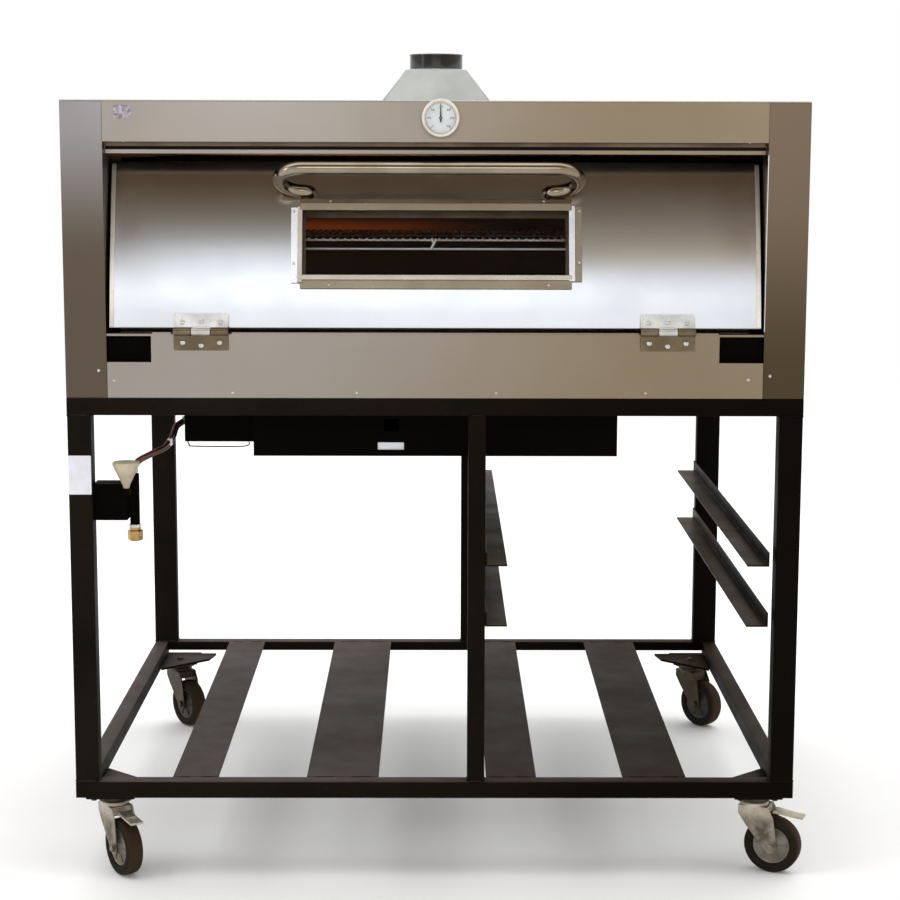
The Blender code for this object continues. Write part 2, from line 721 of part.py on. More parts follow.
def chamber(parent):
    """The liner, which is a box open at its slanted mouth, with a ledge all round for the hearth stone."""
    ledge_bottom = SILL - STONE_THICKNESS - SHEET - GAP
    low = (-CHAMBER_HALF, CHAMBER_FRONT, ledge_bottom)
    high = (CHAMBER_HALF, CHAMBER_BACK, CHAMBER_ROOF)
    liner = piece("chamber_liner", boxes((low, high)), CHAMBER_STEEL, parent)
    wall = SHEET
    cut(liner, boxes(((low[0] + wall, 0.0, low[2] + wall), (high[0] - wall, high[1] - wall, high[2] - wall))))
    hole_low = (low[0] + LEDGE, LEDGE_FRONT, low[2] - CLEAR)
    cut(liner, boxes((hole_low, (high[0] - LEDGE, high[1] - LEDGE, low[2] + CLEAR))))
    cut(liner, cylinder(FLUE_HOLE, high[2] - CLEAR, high[2] + CLEAR, "Z", (0, FLUE_Y, 0), 24))
    mouth = DOOR_FACE + DOOR_DEPTH + MOUTH_GAP
    under = low[2] - CLEAR
    over = high[2] + CLEAR
    front = -DEPTH / 2
    slant = [(door_plane_y(under, mouth), under), (door_plane_y(over, mouth), over)]
    cut(liner, prism([(front, under), *slant, (front, over)], "X", -WIDTH, WIDTH))
    width, thickness = RACK_SHELF
    for sign in (-1, 1):
        xs = sorted((sign * (CHAMBER_HALF - SHEET / 2), sign * (CHAMBER_HALF - SHEET / 2 - width)))
        shelf_low = (xs[0], RACK_DEPTH[0] - CLEAR, RACK_LEVEL - GAP - thickness)
        join(liner, boxes((shelf_low, (xs[1], RACK_DEPTH[1] + CLEAR, RACK_LEVEL - GAP))))
    inset = wall + GAP
    stone_low = (low[0] + inset, door_plane_y(SILL, mouth) + 0.001, SILL - STONE_THICKNESS)
    stone = boxes((stone_low, (high[0] - inset, high[1] - inset, SILL)))
    piece("hearth_stone", stone, REFRACTORY, parent)


def wire_rack(parent):
    """A grating of wires, with a rod slung under its front edge."""
    reach = CHAMBER_HALF - SHEET - 0.002
    step = (2 * reach - WIRE) / (RACK_WIRES - 1)
    edges_x = []
    for k in range(RACK_WIRES):
        edges_x += [-reach + k * step, -reach + k * step + WIRE]
    middle = sum(RACK_DEPTH) / 2
    edges_y = []
    for start in (RACK_DEPTH[0], middle - WIRE / 2, RACK_DEPTH[1] - WIRE):
        edges_y += [start, start + WIRE]
    shape = grid_plate(edges_x, edges_y, RACK_LEVEL, RACK_LEVEL + WIRE)
    rack = piece("wire_rack", shape, BRIGHT_STEEL, parent)
    near = RACK_DEPTH[0]
    rod_bottom = RACK_LEVEL - RACK_DROP
    rod_end = reach - 3 * RACK_LINK
    join(rack, boxes(((-rod_end, near, rod_bottom), (rod_end, near + WIRE, rod_bottom + WIRE))))
    for x in (-rod_end, 0, rod_end):
        left = min(max(x - RACK_LINK / 2, -rod_end), rod_end - RACK_LINK)
        low = (left, near + WIRE / 4, rod_bottom + WIRE / 2)
        join(rack, boxes((low, (left + RACK_LINK, near + WIRE * 3 / 4, RACK_LEVEL + WIRE / 2))))


def flue(parent):
    """A pyramid hood of sheet over the flue hole, and the round collar for a chimney on top of it."""
    base_z = OVEN_TOP + GAP
    top_z = base_z + HOOD_HEIGHT
    shape = bmesh.new()
    rings = []
    for half, z in (
        (HOOD_BASE / 2, base_z),
        (HOOD_TOP / 2, top_z),
        (HOOD_HOLE, top_z),
        (HOOD_HOLE, top_z - SHEET),
        (HOOD_TOP / 2 - SHEET, top_z - SHEET),
        (HOOD_BASE / 2 - SHEET * 1.3, base_z),
    ):
        signs = ((-1, -1), (1, -1), (1, 1), (-1, 1))
        rings.append([shape.verts.new((sx * half, FLUE_Y + sy * half, z)) for sx, sy in signs])
    for first, second in zip(rings, rings[1:] + rings[:1]):
        for k in range(4):
            n = (k + 1) % 4
            shape.faces.new((first[k], first[n], second[n], second[k]))
    piece("flue_hood", shape, GALVANISED, parent)
    low = top_z + GAP
    high = low + COLLAR_HEIGHT
    profile = [
        (COLLAR_RADIUS - COLLAR_WALL, low),
        (COLLAR_RADIUS, low),
        (COLLAR_RADIUS, high - 0.002),
        (COLLAR_RADIUS - 0.001, high),
        (COLLAR_RADIUS - COLLAR_WALL, high),
    ]
    shape = lathe(profile, 32, "Z", (0, FLUE_Y, 0), closed=True)
    piece("flue_collar", shape, ENAMEL, parent, smooth=True)


def thermometer(parent):
    face = -DIAL_PROUD
    profile = [
        (0, face + DIAL_RECESS),
        (DIAL_RADIUS - 0.0045, face + DIAL_RECESS),
        (DIAL_RADIUS - 0.0030, face + 0.0008),
        (DIAL_RADIUS - 0.0015, face),
        (DIAL_RADIUS - 0.0004, face + 0.0008),
        (DIAL_RADIUS, face + 0.0040),
        (DIAL_RADIUS - 0.0015, -GAP),
        (STEM_RADIUS, -GAP),
        (STEM_RADIUS, STEM_LENGTH),
        (0, STEM_LENGTH),
    ]
    place = (DIAL[0], 0, DIAL[1])
    shape = lathe(profile, 28, "Y", place)
    case = piece("thermometer_case", shape, WHITE_DIAL, parent, smooth=True)
    dial = face + DIAL_RECESS
    join(case, cylinder(POST_RADIUS, dial - 0.0032, dial + 0.0010, "Y", place, 8))
    back = dial - GAP
    front = back - POST_RADIUS
    half = [(0.0010, -NEEDLE_TAIL), (0.0014, 0), (0.0004, NEEDLE_TIP)]
    outline = half + [(-x, z) for x, z in reversed(half)]
    needle = piece("thermometer_needle", prism(outline, "Y", front, back), NEEDLE_BLACK, parent, place)
    join(needle, cylinder(NEEDLE_HUB, front - 2 * GAP, back, "Y", (0, 0, 0), 12))
    cut(needle, cylinder(POST_RADIUS + GAP, front - CLEAR, back + CLEAR, "Y", (0, 0, 0), 12))


# Door


def door_profile(inset, low, high, steps=8):
    """Side view of the face, moved inwards by inset: flat behind the hinges and bulged above them."""
    middle = (BULGE_START + DOOR_Z[1]) / 2
    reach = (DOOR_Z[1] - BULGE_START) / 2
    points = [(DOOR_FACE + inset, low)]
    for k in range(steps + 1):
        z = BULGE_START + (high - BULGE_START) * k / steps
        bulge = DOOR_BULGE * (1 - ((z - middle) / reach) ** 2)
        points.append((DOOR_FACE - bulge + inset, z))
    return points


def door_panels(door):
    """An outer pan with a bulged face and folded edges, and an inner pan that plugs the mouth."""
    back = DOOR_FACE + DOOR_DEPTH * 0.6
    outline = door_profile(0, *DOOR_Z) + [(back, DOOR_Z[1]), (back, DOOR_Z[0])]
    pan = prism(outline, "X", -DOOR_HALF, DOOR_HALF)
    outer = piece("door_outer_panel", pan, STAINLESS, door, smooth=True)
    low = DOOR_Z[0] + DOOR_SHEET
    high = DOOR_Z[1] - DOOR_SHEET
    hollow = door_profile(DOOR_SHEET, low, high) + [(back + CLEAR, high), (back + CLEAR, low)]
    inside = DOOR_HALF - DOOR_SHEET
    cut(outer, prism(hollow, "X", -inside, inside))
    hole = WINDOW_HALF - WINDOW_INSET
    hole_z = (WINDOW_Z[0] + WINDOW_INSET, WINDOW_Z[1] - WINDOW_INSET)
    cut(outer, boxes(((-hole, -2 * CLEAR, hole_z[0]), (hole, 2 * CLEAR, hole_z[1]))))
    pan_front = back + GAP
    pan_back = DOOR_FACE + DOOR_DEPTH
    cover = boxes(((-DOOR_HALF, pan_front, DOOR_Z[0]), (DOOR_HALF, pan_front + DOOR_SHEET, DOOR_Z[1])))
    inner = piece("door_inner_panel", cover, CHAMBER_STEEL, door)
    join(inner, boxes(((-PLUG_HALF, pan_front + 0.0005, PLUG_Z[0]), (PLUG_HALF, pan_back, PLUG_Z[1]))))
    pocket_low = (-PLUG_HALF + DOOR_SHEET, pan_front - CLEAR, PLUG_Z[0] + DOOR_SHEET)
    pocket_high = (PLUG_HALF - DOOR_SHEET, pan_back - DOOR_SHEET, PLUG_Z[1] - DOOR_SHEET)
    cut(inner, boxes((pocket_low, pocket_high)))
    cut(inner, boxes(((-hole, pan_front - CLEAR, hole_z[0]), (hole, pan_back + CLEAR, hole_z[1]))))


def window(door):
    lip_half = WINDOW_HALF + LIP
    lip_low = WINDOW_Z[0] - LIP
    lip_high = WINDOW_Z[1] + LIP
    flange_low = (-lip_half - FLANGE, FRAME_BACK - 0.002, lip_low - FLANGE)
    flange_high = (lip_half + FLANGE, FRAME_BACK, lip_high + FLANGE)
    frame = piece("window_frame", boxes((flange_low, flange_high)), BRIGHT_STEEL, door)
    face = FRAME_BACK - FRAME_PROUD
    join(frame, boxes(((-lip_half, face, lip_low), (lip_half, FRAME_BACK - 0.001, lip_high))))
    cut(frame, boxes(((-WINDOW_HALF, face - CLEAR, WINDOW_Z[0]), (WINDOW_HALF, CLEAR, WINDOW_Z[1]))))
    step = FRAME_BACK - GLASS_THICKNESS - 3 * GAP
    low = (-WINDOW_HALF - REBATE, step, WINDOW_Z[0] - REBATE)
    high = (WINDOW_HALF + REBATE, CLEAR, WINDOW_Z[1] + REBATE)
    cut(frame, boxes((low, high)))
    inset = REBATE - GAP
    pane_low = (-WINDOW_HALF - inset, step + GAP, WINDOW_Z[0] - inset)
    pane_high = (WINDOW_HALF + inset, step + GAP + GLASS_THICKNESS, WINDOW_Z[1] + inset)
    piece("window_glass", boxes((pane_low, pane_high)), GLASS, door)


def handle(door):
    """A tube bar whose ends curl back through half a turn to the door."""
    bar = Vector((0, *HANDLE_BAR))
    foot = Vector((0, *HANDLE_FOOT))
    bend = (bar - foot).length / 2
    middle = (bar + foot) / 2
    out = (bar - foot).normalized()

    def curl(sign):
        points = []
        for k in range(CURL_STEPS + 1):
            angle = math.pi * k / CURL_STEPS
            x = sign * (HANDLE_STRAIGHT + bend * math.sin(angle))
            points.append(middle + out * bend * math.cos(angle) + Vector((x, 0, 0)))
        points.append(foot + Vector((sign * (HANDLE_STRAIGHT - 0.0015), 0, 0)))
        return points

    path = list(reversed(curl(-1))) + curl(1)
    path = [point + Vector((HANDLE_X, 0, 0)) for point in path]
    piece("door_handle", sweep(path, HANDLE_RADIUS, 12, HANDLE_WALL), BRIGHT_STEEL, door, smooth=True)


def hinges(parent, door):
    """Butt hinges. The lower leaf carries the pin, and the upper leaf's knuckle turns on it."""
    back = KNUCKLE_RADIUS
    front = back - LEAF_THICKNESS
    for side, x in HINGES_X.items():
        barrel = [
            (0, -LEAF_HALF),
            (KNUCKLE_RADIUS, -LEAF_HALF),
            (KNUCKLE_RADIUS, -KNUCKLE_HALF - GAP),
            (PIN_RADIUS, -KNUCKLE_HALF - GAP),
        ]
        barrel += [(radius, -along) for radius, along in reversed(barrel)]
        place = (x, HINGE_Y, HINGE_Z)
        lower = piece(f"hinge_lower_leaf_{side}", lathe(barrel, 16, "X"), ZINC, parent, place, smooth=True)
        leaf_back = -HINGE_Y - GAP
        leaf_front = leaf_back - LEAF_THICKNESS
        notch = KNUCKLE_HALF + 2 * GAP
        outline = [
            (-LEAF_HALF, -LEAF_END),
            (LEAF_HALF, -LEAF_END),
            (LEAF_HALF, -0.001),
            (notch, -0.001),
            (notch, -LEAF_START),
            (-notch, -LEAF_START),
            (-notch, -0.001),
            (-LEAF_HALF, -0.001),
        ]
        join(lower, prism(outline, "Y", leaf_front, leaf_back))
        bore = PIN_RADIUS + GAP
        tube = [(bore, -KNUCKLE_HALF), (KNUCKLE_RADIUS, -KNUCKLE_HALF), (KNUCKLE_RADIUS, KNUCKLE_HALF)]
        tube.append((bore, KNUCKLE_HALF))
        shape = lathe(tube, 16, "X", closed=True)
        upper = piece(f"hinge_upper_leaf_{side}", shape, ZINC, door, (x, 0, 0), smooth=True)
        tab = KNUCKLE_HALF - 0.0005
        outline = [
            (-LEAF_HALF, LEAF_END),
            (-LEAF_HALF, LEAF_START),
            (-tab, LEAF_START),
            (-tab, 0.001),
            (tab, 0.001),
            (tab, LEAF_START),
            (LEAF_HALF, LEAF_START),
            (LEAF_HALF, LEAF_END),
        ]
        outer_back = back - GAP
        join(upper, prism(outline, "Y", front - GAP, outer_back))


# Burner and gas train


def burner(parent):
    low, high = BURNER_BOX
    in_low, in_high = INTAKE_BOX
    box = piece("burner_box", boxes((low, high)), BLACK_PAINT, parent)
    join(box, boxes((in_low, in_high)))
    out = BURNER_FLANGE
    flange_low = (low[0] - out, low[1] - out, high[2] - 0.001)
    join(box, boxes((flange_low, (high[0] + out, high[1] + out, STAND_TOP - GAP))))
    wall = SHEET
    inner_low = (low[0] + wall, low[1] + wall, low[2] + wall)
    cut(box, boxes((inner_low, (high[0] - wall, high[1] - wall, STAND_TOP + CLEAR))))
    inner_low = (in_low[0] + wall, in_low[1] + wall, in_low[2] + wall)
    cut(box, boxes((inner_low, (low[0] + CLEAR, in_high[1] - wall, INTAKE_INNER_TOP))))
    for (left, bottom), (right, top) in (SIGHT_HOLE, AIR_SLOT):
        cut(box, boxes(((left, low[1] - CLEAR, bottom), (right, low[1] + CLEAR, top))))
    entry = (0, *TUBE_ENTRY)
    cut(box, cylinder(TUBE_ENTRY_RADIUS, in_low[0] - CLEAR, in_low[0] + CLEAR, "X", entry, 16))
    near, far = BURNER_RUN_Y
    path = [(BURNER_START_X, near), (0, near)]
    path += arc((BURNER_BEND_X, near + BURNER_BEND), BURNER_BEND, -90, 0, 5)
    path += arc((BURNER_BEND_X, far - BURNER_BEND), BURNER_BEND, 0, 90, 5)
    path.append((BURNER_END_X, far))
    tube = sweep([(x, y, BURNER_LEVEL) for x, y in path], BURNER_TUBE_RADIUS, 12)
    piece("burner_tube", tube, CHAMBER_STEEL, parent, smooth=True)


def gas_train(parent):
    body_left = -HALF + FRONT_LEG[0] + GAP
    block = boxes(((body_left, *VALVE_BLOCK[0]), VALVE_BLOCK[1]))
    valve = piece("gas_valve_body", block, BLACK_PAINT, parent)
    join(valve, boxes(VALVE_BRANCH))
    join(valve, cylinder(PIPE_RADIUS, *PIPE_Z, "Z", (PIPE_X, PIPE_Y, 0), 16))
    boss_top = KNOB_AT[2] - GAP
    boss_low = (KNOB_AT[0] - KNOB_BOSS, KNOB_BOSS_Y[0], boss_top - 2 * KNOB_BOSS)
    join(valve, boxes((boss_low, (KNOB_AT[0] + KNOB_BOSS, KNOB_BOSS_Y[1], boss_top))))
    piece("gas_valve_knob", lathe(KNOB_PROFILE, 24), CREAM, parent, KNOB_AT, smooth=True)
    nut_top = PIPE_Z[0] - GAP
    profile = [(0, NUT_BOTTOM), (NUT_RADIUS - NUT_CHAMFER, NUT_BOTTOM)]
    profile += [(NUT_RADIUS, NUT_BOTTOM + NUT_CHAMFER), (NUT_RADIUS, nut_top), (0, nut_top)]
    nut = lathe(profile, 6, "Z", (PIPE_X, PIPE_Y, 0))
    piece("gas_inlet_nut", nut, BRASS, parent)
    start = Vector((PIPE_X, PIPE_Y, PIPE_Z[1] + 3 * GAP))
    finish = Vector((INTAKE_BOX[0][0] + 2 * SHEET, *TUBE_ENTRY))
    bends = [start + Vector(bend) for bend in TUBE_BENDS]
    bends += [finish - Vector((0.006, 0.002, 0.002)), finish]
    path = smooth_path(bends, 2)
    tubes = piece("gas_tubes", sweep(path, TUBE_RADII[0], 8), COPPER, parent, smooth=True)
    aside = Vector(PILOT_ASIDE)
    join(tubes, sweep([point + aside for point in path[3:-3]], TUBE_RADII[1], 6))
    clip = path[CLIP_STEP] + aside / 2
    join(tubes, boxes((clip - Vector(CLIP_HALF), clip + Vector(CLIP_HALF))))


def smooth_path(points, steps):
    """A curve through the points, as a Catmull-Rom spline."""
    path = []
    for i in range(len(points) - 1):
        before = points[max(i - 1, 0)]
        after = points[min(i + 2, len(points) - 1)]
        a, b = points[i], points[i + 1]
        for k in range(steps):
            t = k / steps
            bow = (b - before) * t + (2 * before - 5 * a + 4 * b - after) * t**2
            path.append(a + 0.5 * (bow + (3 * a - before - 3 * b + after) * t**3))
    return path + [points[-1]]


def main():
    clear_scene()
    assembly = empty("assembly", (-BOX_CENTRE[0], -BOX_CENTRE[1], 0))
    bottom_rails = (FLOOR_TO_STAND, FLOOR_TO_STAND + RAIL)
    rear_bottom = bottom_rails[1] - REAR_RAIL_HEIGHT
    rail_ring("stand_bottom_frame", *bottom_rails, rear_bottom, True, assembly)
    top_rails = (STAND_TOP - RAIL, STAND_TOP)
    rail_ring("stand_top_frame", *top_rails, top_rails[0], False, assembly)
    legs_and_posts(assembly)
    slats(assembly)
    tray_runners(assembly)
    casters(assembly)
    for side in ("left", "right"):
        side_panel(side, assembly)
    casing(assembly)
    fascias(assembly)
    chamber(assembly)
    wire_rack(assembly)
    flue(assembly)
    thermometer(assembly)
    door = empty("door_pivot", (0, HINGE_Y, HINGE_Z), (-DOOR_TILT, 0, 0), assembly)
    door_panels(door)
    window(door)
    handle(door)
    hinges(assembly, door)
    burner(assembly)
    gas_train(assembly)


main()
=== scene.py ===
"""The looks of a gas-fired deck pizza oven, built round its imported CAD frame.

Lengths are metres. The oven's own layout is measured from the middle of its front at the floor, and
place() turns it into the frame. Door pieces are made in the door's frame: x along the width, y into
the oven and z up the door from its hinge.
"""

import json
import math

import bmesh
import bpy
from mathutils import Matrix, Vector


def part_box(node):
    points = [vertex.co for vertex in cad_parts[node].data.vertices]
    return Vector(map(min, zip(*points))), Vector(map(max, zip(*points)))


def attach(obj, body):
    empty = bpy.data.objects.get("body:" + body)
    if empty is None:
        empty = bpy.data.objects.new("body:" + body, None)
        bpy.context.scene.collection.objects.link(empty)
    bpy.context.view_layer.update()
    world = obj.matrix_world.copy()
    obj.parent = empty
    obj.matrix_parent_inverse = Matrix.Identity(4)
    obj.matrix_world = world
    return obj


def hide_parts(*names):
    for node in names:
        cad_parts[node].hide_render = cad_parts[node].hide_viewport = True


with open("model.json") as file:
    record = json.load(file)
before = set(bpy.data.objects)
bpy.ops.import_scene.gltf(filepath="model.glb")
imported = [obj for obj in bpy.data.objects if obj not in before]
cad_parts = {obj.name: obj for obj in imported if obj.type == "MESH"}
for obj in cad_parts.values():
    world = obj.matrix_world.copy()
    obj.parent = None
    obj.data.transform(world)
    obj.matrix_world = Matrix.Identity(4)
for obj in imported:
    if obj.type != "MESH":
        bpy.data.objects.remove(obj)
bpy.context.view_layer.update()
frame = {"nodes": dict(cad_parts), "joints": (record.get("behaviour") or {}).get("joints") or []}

TOP_LOW, TOP_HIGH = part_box("top_panel")
ORIGIN = Vector(((TOP_LOW.x + TOP_HIGH.x) / 2, TOP_LOW.y, 0))
HALF = (TOP_HIGH.x - TOP_LOW.x) / 2
DEPTH = TOP_HIGH.y - TOP_LOW.y
OVEN_TOP = TOP_HIGH.z
LAYOUT = Matrix.Translation(ORIGIN)
JOINTS = {joint["name"]: joint for joint in frame["joints"]}
DOOR_TILT = math.radians(14.4)
DOOR = Matrix.Translation(JOINTS["door_hinge"]["pos_m"]) @ Matrix.Rotation(-DOOR_TILT, 4, "X")
ROOT = "oven_and_stand"
WHEEL_RADIUS = 0.05
WELD_RIPPLE = 0.0028
CORNERS = ("front_left", "front_right", "rear_left", "rear_right")


def place(x, y, z):
    return ORIGIN + Vector((x, y, z))


# Node materials


def add(tree, kind, settings=None, **inputs):
    """A shader node with its settings and inputs. An input is a number, a colour or another node's output."""
    node = tree.nodes.new(kind)
    for key, value in (settings or {}).items():
        setattr(node, key, value)
    for key, value in inputs.items():
        socket = node.inputs[int(key[1:])] if key[1:].isdigit() else node.inputs[key.replace("_", " ")]
        if isinstance(value, bpy.types.NodeSocket):
            tree.links.new(value, socket)
        else:
            socket.default_value = value
    return node


def noise(tree, scale, detail=3.0, stretch=(1, 1, 1), rough=0.55):
    coords = add(tree, "ShaderNodeTexCoord").outputs["Object"]
    mapped = add(tree, "ShaderNodeMapping", Vector=coords, Scale=stretch).outputs["Vector"]
    made = add(tree, "ShaderNodeTexNoise", Vector=mapped, Scale=scale, Detail=detail, Roughness=rough)
    return made.outputs["Fac"]


def ramp(tree, value, low, high, start=0.0, stop=1.0, smooth=True):
    """Maps low..high to start..stop."""
    settings = {"interpolation_type": "SMOOTHSTEP" if smooth else "LINEAR"}
    made = add(tree, "ShaderNodeMapRange", settings, i0=value, i1=low, i2=high, i3=start, i4=stop)
    return made.outputs["Result"]


def maths(tree, operation, a, b=0.0):
    return add(tree, "ShaderNodeMath", {"operation": operation}, i0=a, i1=b).outputs[0]


def times(tree, first, *others):
    for other in others:
        first = maths(tree, "MULTIPLY", first, other)
    return first


def mixed(tree, share, a, b, blend="MIX"):
    """Two colours, each a tuple or another node's output, blended by a share."""
    a, b = [(*c, 1) if isinstance(c, tuple) else c for c in (a, b)]
    settings = {"data_type": "RGBA", "blend_type": blend}
    return add(tree, "ShaderNodeMix", settings, i0=share, i6=a, i7=b).outputs[2]


def object_axis(tree, axis, kind="Object"):
    coords = add(tree, "ShaderNodeTexCoord").outputs[kind]
    return add(tree, "ShaderNodeSeparateXYZ", Vector=coords).outputs[axis]


def surface(
    name,
    colours,
    rough,
    metallic=0.0,
    broad=4.0,
    fine=90.0,
    stretch=(1, 1, 1),
    bump=0.05,
    grain=0.0,
    dust=None,
    wear=None,
    extra=None,
    **sockets,
):
    """A finish that wanders between two colours, with fine streaks or grain in its roughness and relief.

    dust is (colour, amount), pale on faces that point up: partly dust, partly painted sheen. wear is (colour,
    amount), in scattered patches. extra is a function that takes the tree and the colour and returns a new
    one.
    """
    made = bpy.data.materials.new(name)
    made.use_nodes = True
    tree = made.node_tree
    shader = tree.nodes["Principled BSDF"]
    shader.inputs["Metallic"].default_value = metallic
    for key, value in sockets.items():
        shader.inputs[key.replace("_", " ")].default_value = value
    wander = ramp(tree, noise(tree, broad, 4.0), 0.32, 0.68)
    streak = noise(tree, fine, 2.0, stretch)
    colour = mixed(tree, wander, *colours)
    if grain:
        shade = ramp(tree, streak, 0.25, 0.75, 1 - grain, 1 + grain, smooth=False)
        grey = add(tree, "ShaderNodeCombineColor", Red=shade, Green=shade, Blue=shade).outputs[0]
        colour = mixed(tree, 1.0, colour, grey, "MULTIPLY")
    if wear:
        patch = ramp(tree, noise(tree, broad * 5, 6.0, rough=0.7), 0.58, 0.72, 0.0, wear[1])
        colour = mixed(tree, patch, colour, wear[0])
    if dust:
        upward = ramp(tree, object_axis(tree, "Z", "Normal"), 0.5, 0.95, 0.0, dust[1])
        cover = ramp(tree, noise(tree, broad * 3, 5.0), 0.25, 0.75, 0.7, 1.0)
        colour = mixed(tree, times(tree, upward, cover), colour, dust[0])
    if extra:
        colour = extra(tree, colour)
    tree.links.new(colour, shader.inputs["Base Color"])
    blend = maths(tree, "ADD", times(tree, wander, 0.4), times(tree, streak, 0.6))
    roughness = ramp(tree, blend, 0.25, 0.75, *rough, smooth=False)
    tree.links.new(roughness, shader.inputs["Roughness"])
    if bump:
        relief = add(tree, "ShaderNodeBump", Height=streak, Strength=bump, Distance=0.001)
        tree.links.new(relief.outputs["Normal"], shader.inputs["Normal"])
    return made


def heat_stain_and_shade(tree, colour):
    """Brown temper stains that creep in from the door's side edges, with painted shade along its top and
    painted warm light over its upper part and right side.
    """
    x, z = object_axis(tree, "X"), object_axis(tree, "Z")
    side = ramp(tree, maths(tree, "ABSOLUTE", x), 0.44, 0.555)
    # Painted shade: the darkening along the door's top. The side edges are temper stain.
    edge = maths(tree, "MAXIMUM", side, times(tree, ramp(tree, z, 0.2, 0.3), 0.5))
    cloud = ramp(tree, noise(tree, 7.0, 5.0), 0.3, 0.75)
    share = times(tree, edge, cloud, ramp(tree, z, 0.09, 0.17, 0.0, 0.6))
    # Painted light: a warm tint over the upper door and its right side.
    right = times(tree, ramp(tree, z, 0.08, 0.16), ramp(tree, x, 0.1, 0.32))
    high = maths(tree, "MAXIMUM", ramp(tree, z, 0.13, 0.24), right)
    warm = mixed(tree, high, colour, (1.0, 0.86, 0.7), "MULTIPLY")
    return mixed(tree, share, warm, (0.15, 0.095, 0.05))


def tinted_to_right(start, stop, tint):
    """A tint that grows from left to right over the oven's width."""

    def blend(tree, colour):
        return mixed(tree, ramp(tree, object_axis(tree, "X"), start, stop), colour, tint, "MULTIPLY")

    return blend


# Painted light: the brushed panels are tinted warmer and darker on the right as painted warm light and shade,
# and the stand is painted darker on the right as painted shade.
painted_warm_light_right = tinted_to_right(-0.28, 0.32, (0.77, 0.68, 0.52))
painted_shade_right = tinted_to_right(-0.3, 0.45, (0.3, 0.225, 0.13))


def painted_reflection_below(low, start, stop):
    """Painted reflection: the colour rises from low to the material's own between two heights."""

    def blend(tree, colour):
        return mixed(tree, ramp(tree, object_axis(tree, "Z"), start, stop), low, colour)

    return blend


def spangle(tree, colour):
    """The frost-like crystals of hot-dip zinc."""
    coords = add(tree, "ShaderNodeTexCoord").outputs["Object"]
    cells = add(tree, "ShaderNodeTexVoronoi", Vector=coords, Scale=70.0)
    share = add(tree, "ShaderNodeSeparateColor", Color=cells.outputs["Color"]).outputs[0]
    return mixed(tree, times(tree, share, 0.35), colour, (0.37, 0.39, 0.38))


def worn_tread(tree, colour):
    """Floor dust ground into the tread, outside a radius from the axle."""
    coords = add(tree, "ShaderNodeTexCoord").outputs["Object"]
    flat = add(tree, "ShaderNodeVectorMath", {"operation": "MULTIPLY"}, i0=coords, i1=(1, 1, 0)).outputs[0]
    reach = add(tree, "ShaderNodeVectorMath", {"operation": "LENGTH"}, i0=flat).outputs["Value"]
    cloud = ramp(tree, noise(tree, 30.0), 0.2, 0.7, 0.5, 0.9)
    share = times(tree, ramp(tree, reach, 0.0462, 0.0488), cloud)
    return mixed(tree, share, colour, (0.036, 0.022, 0.01))


def fork_darker_low(tree, colour):
    """Darker brown low on the fork, round the axle, in patches."""
    low = ramp(tree, object_axis(tree, "Z"), 0.112, 0.084)
    share = times(tree, low, ramp(tree, noise(tree, 34.0, 4.0), 0.25, 0.65, 0.3, 0.92))
    return mixed(tree, share, colour, (0.04, 0.026, 0.014))


def liner_painted_shade(tree, colour):
    """Painted shade: the liner is painted near black inside the chamber, and only the back wall above the
    rack on the left keeps its rust brown.
    """
    x, y, z = [object_axis(tree, axis) for axis in "XYZ"]
    band = times(tree, ramp(tree, z, 1.08, 1.098), ramp(tree, z, 1.122, 1.094))
    share = times(tree, band, ramp(tree, y, 0.4, 0.47), ramp(tree, x, 0.16, -0.22))
    return mixed(tree, share, (0.0075, 0.0046, 0.0028), colour)


# Painted sheen: the pale dust on faces that point up stands in for the paint's grey sheen as well as for real
# dust.
BLACK_PAINT = surface(
    "black_paint", ((0.0056, 0.0036, 0.0021), (0.0098, 0.0066, 0.004)), (0.45, 0.62), broad=6, fine=420,
    bump=0.1, dust=((0.122, 0.098, 0.091), 0.66), wear=((0.018, 0.012, 0.008), 0.5), extra=painted_shade_right,
    Specular_IOR_Level=0.035,
)
SHEET_BLACK = surface(
    "burner_black", ((0.0012, 0.0009, 0.0006), (0.0026, 0.0018, 0.0012)), (0.55, 0.7), fine=300, bump=0.08,
    Specular_IOR_Level=0.02,
)
SHADOW_BLACK = surface(
    "shadow_black", ((0.005, 0.004, 0.003), (0.009, 0.007, 0.0055)), (0.55, 0.7), fine=300, bump=0.05,
    Specular_IOR_Level=0.08,
)
# Painted sheen: the pale dust on faces that point up stands in for the paint's grey sheen as well as for real
# dust.
RUNNER_PAINT = surface(
    "runner_paint", ((0.0058, 0.0042, 0.0026), (0.0135, 0.0092, 0.0052)), (0.4, 0.55), broad=9, fine=420,
    bump=0.1, dust=((0.165, 0.125, 0.078), 0.8), extra=painted_shade_right, Specular_IOR_Level=0.06,
)
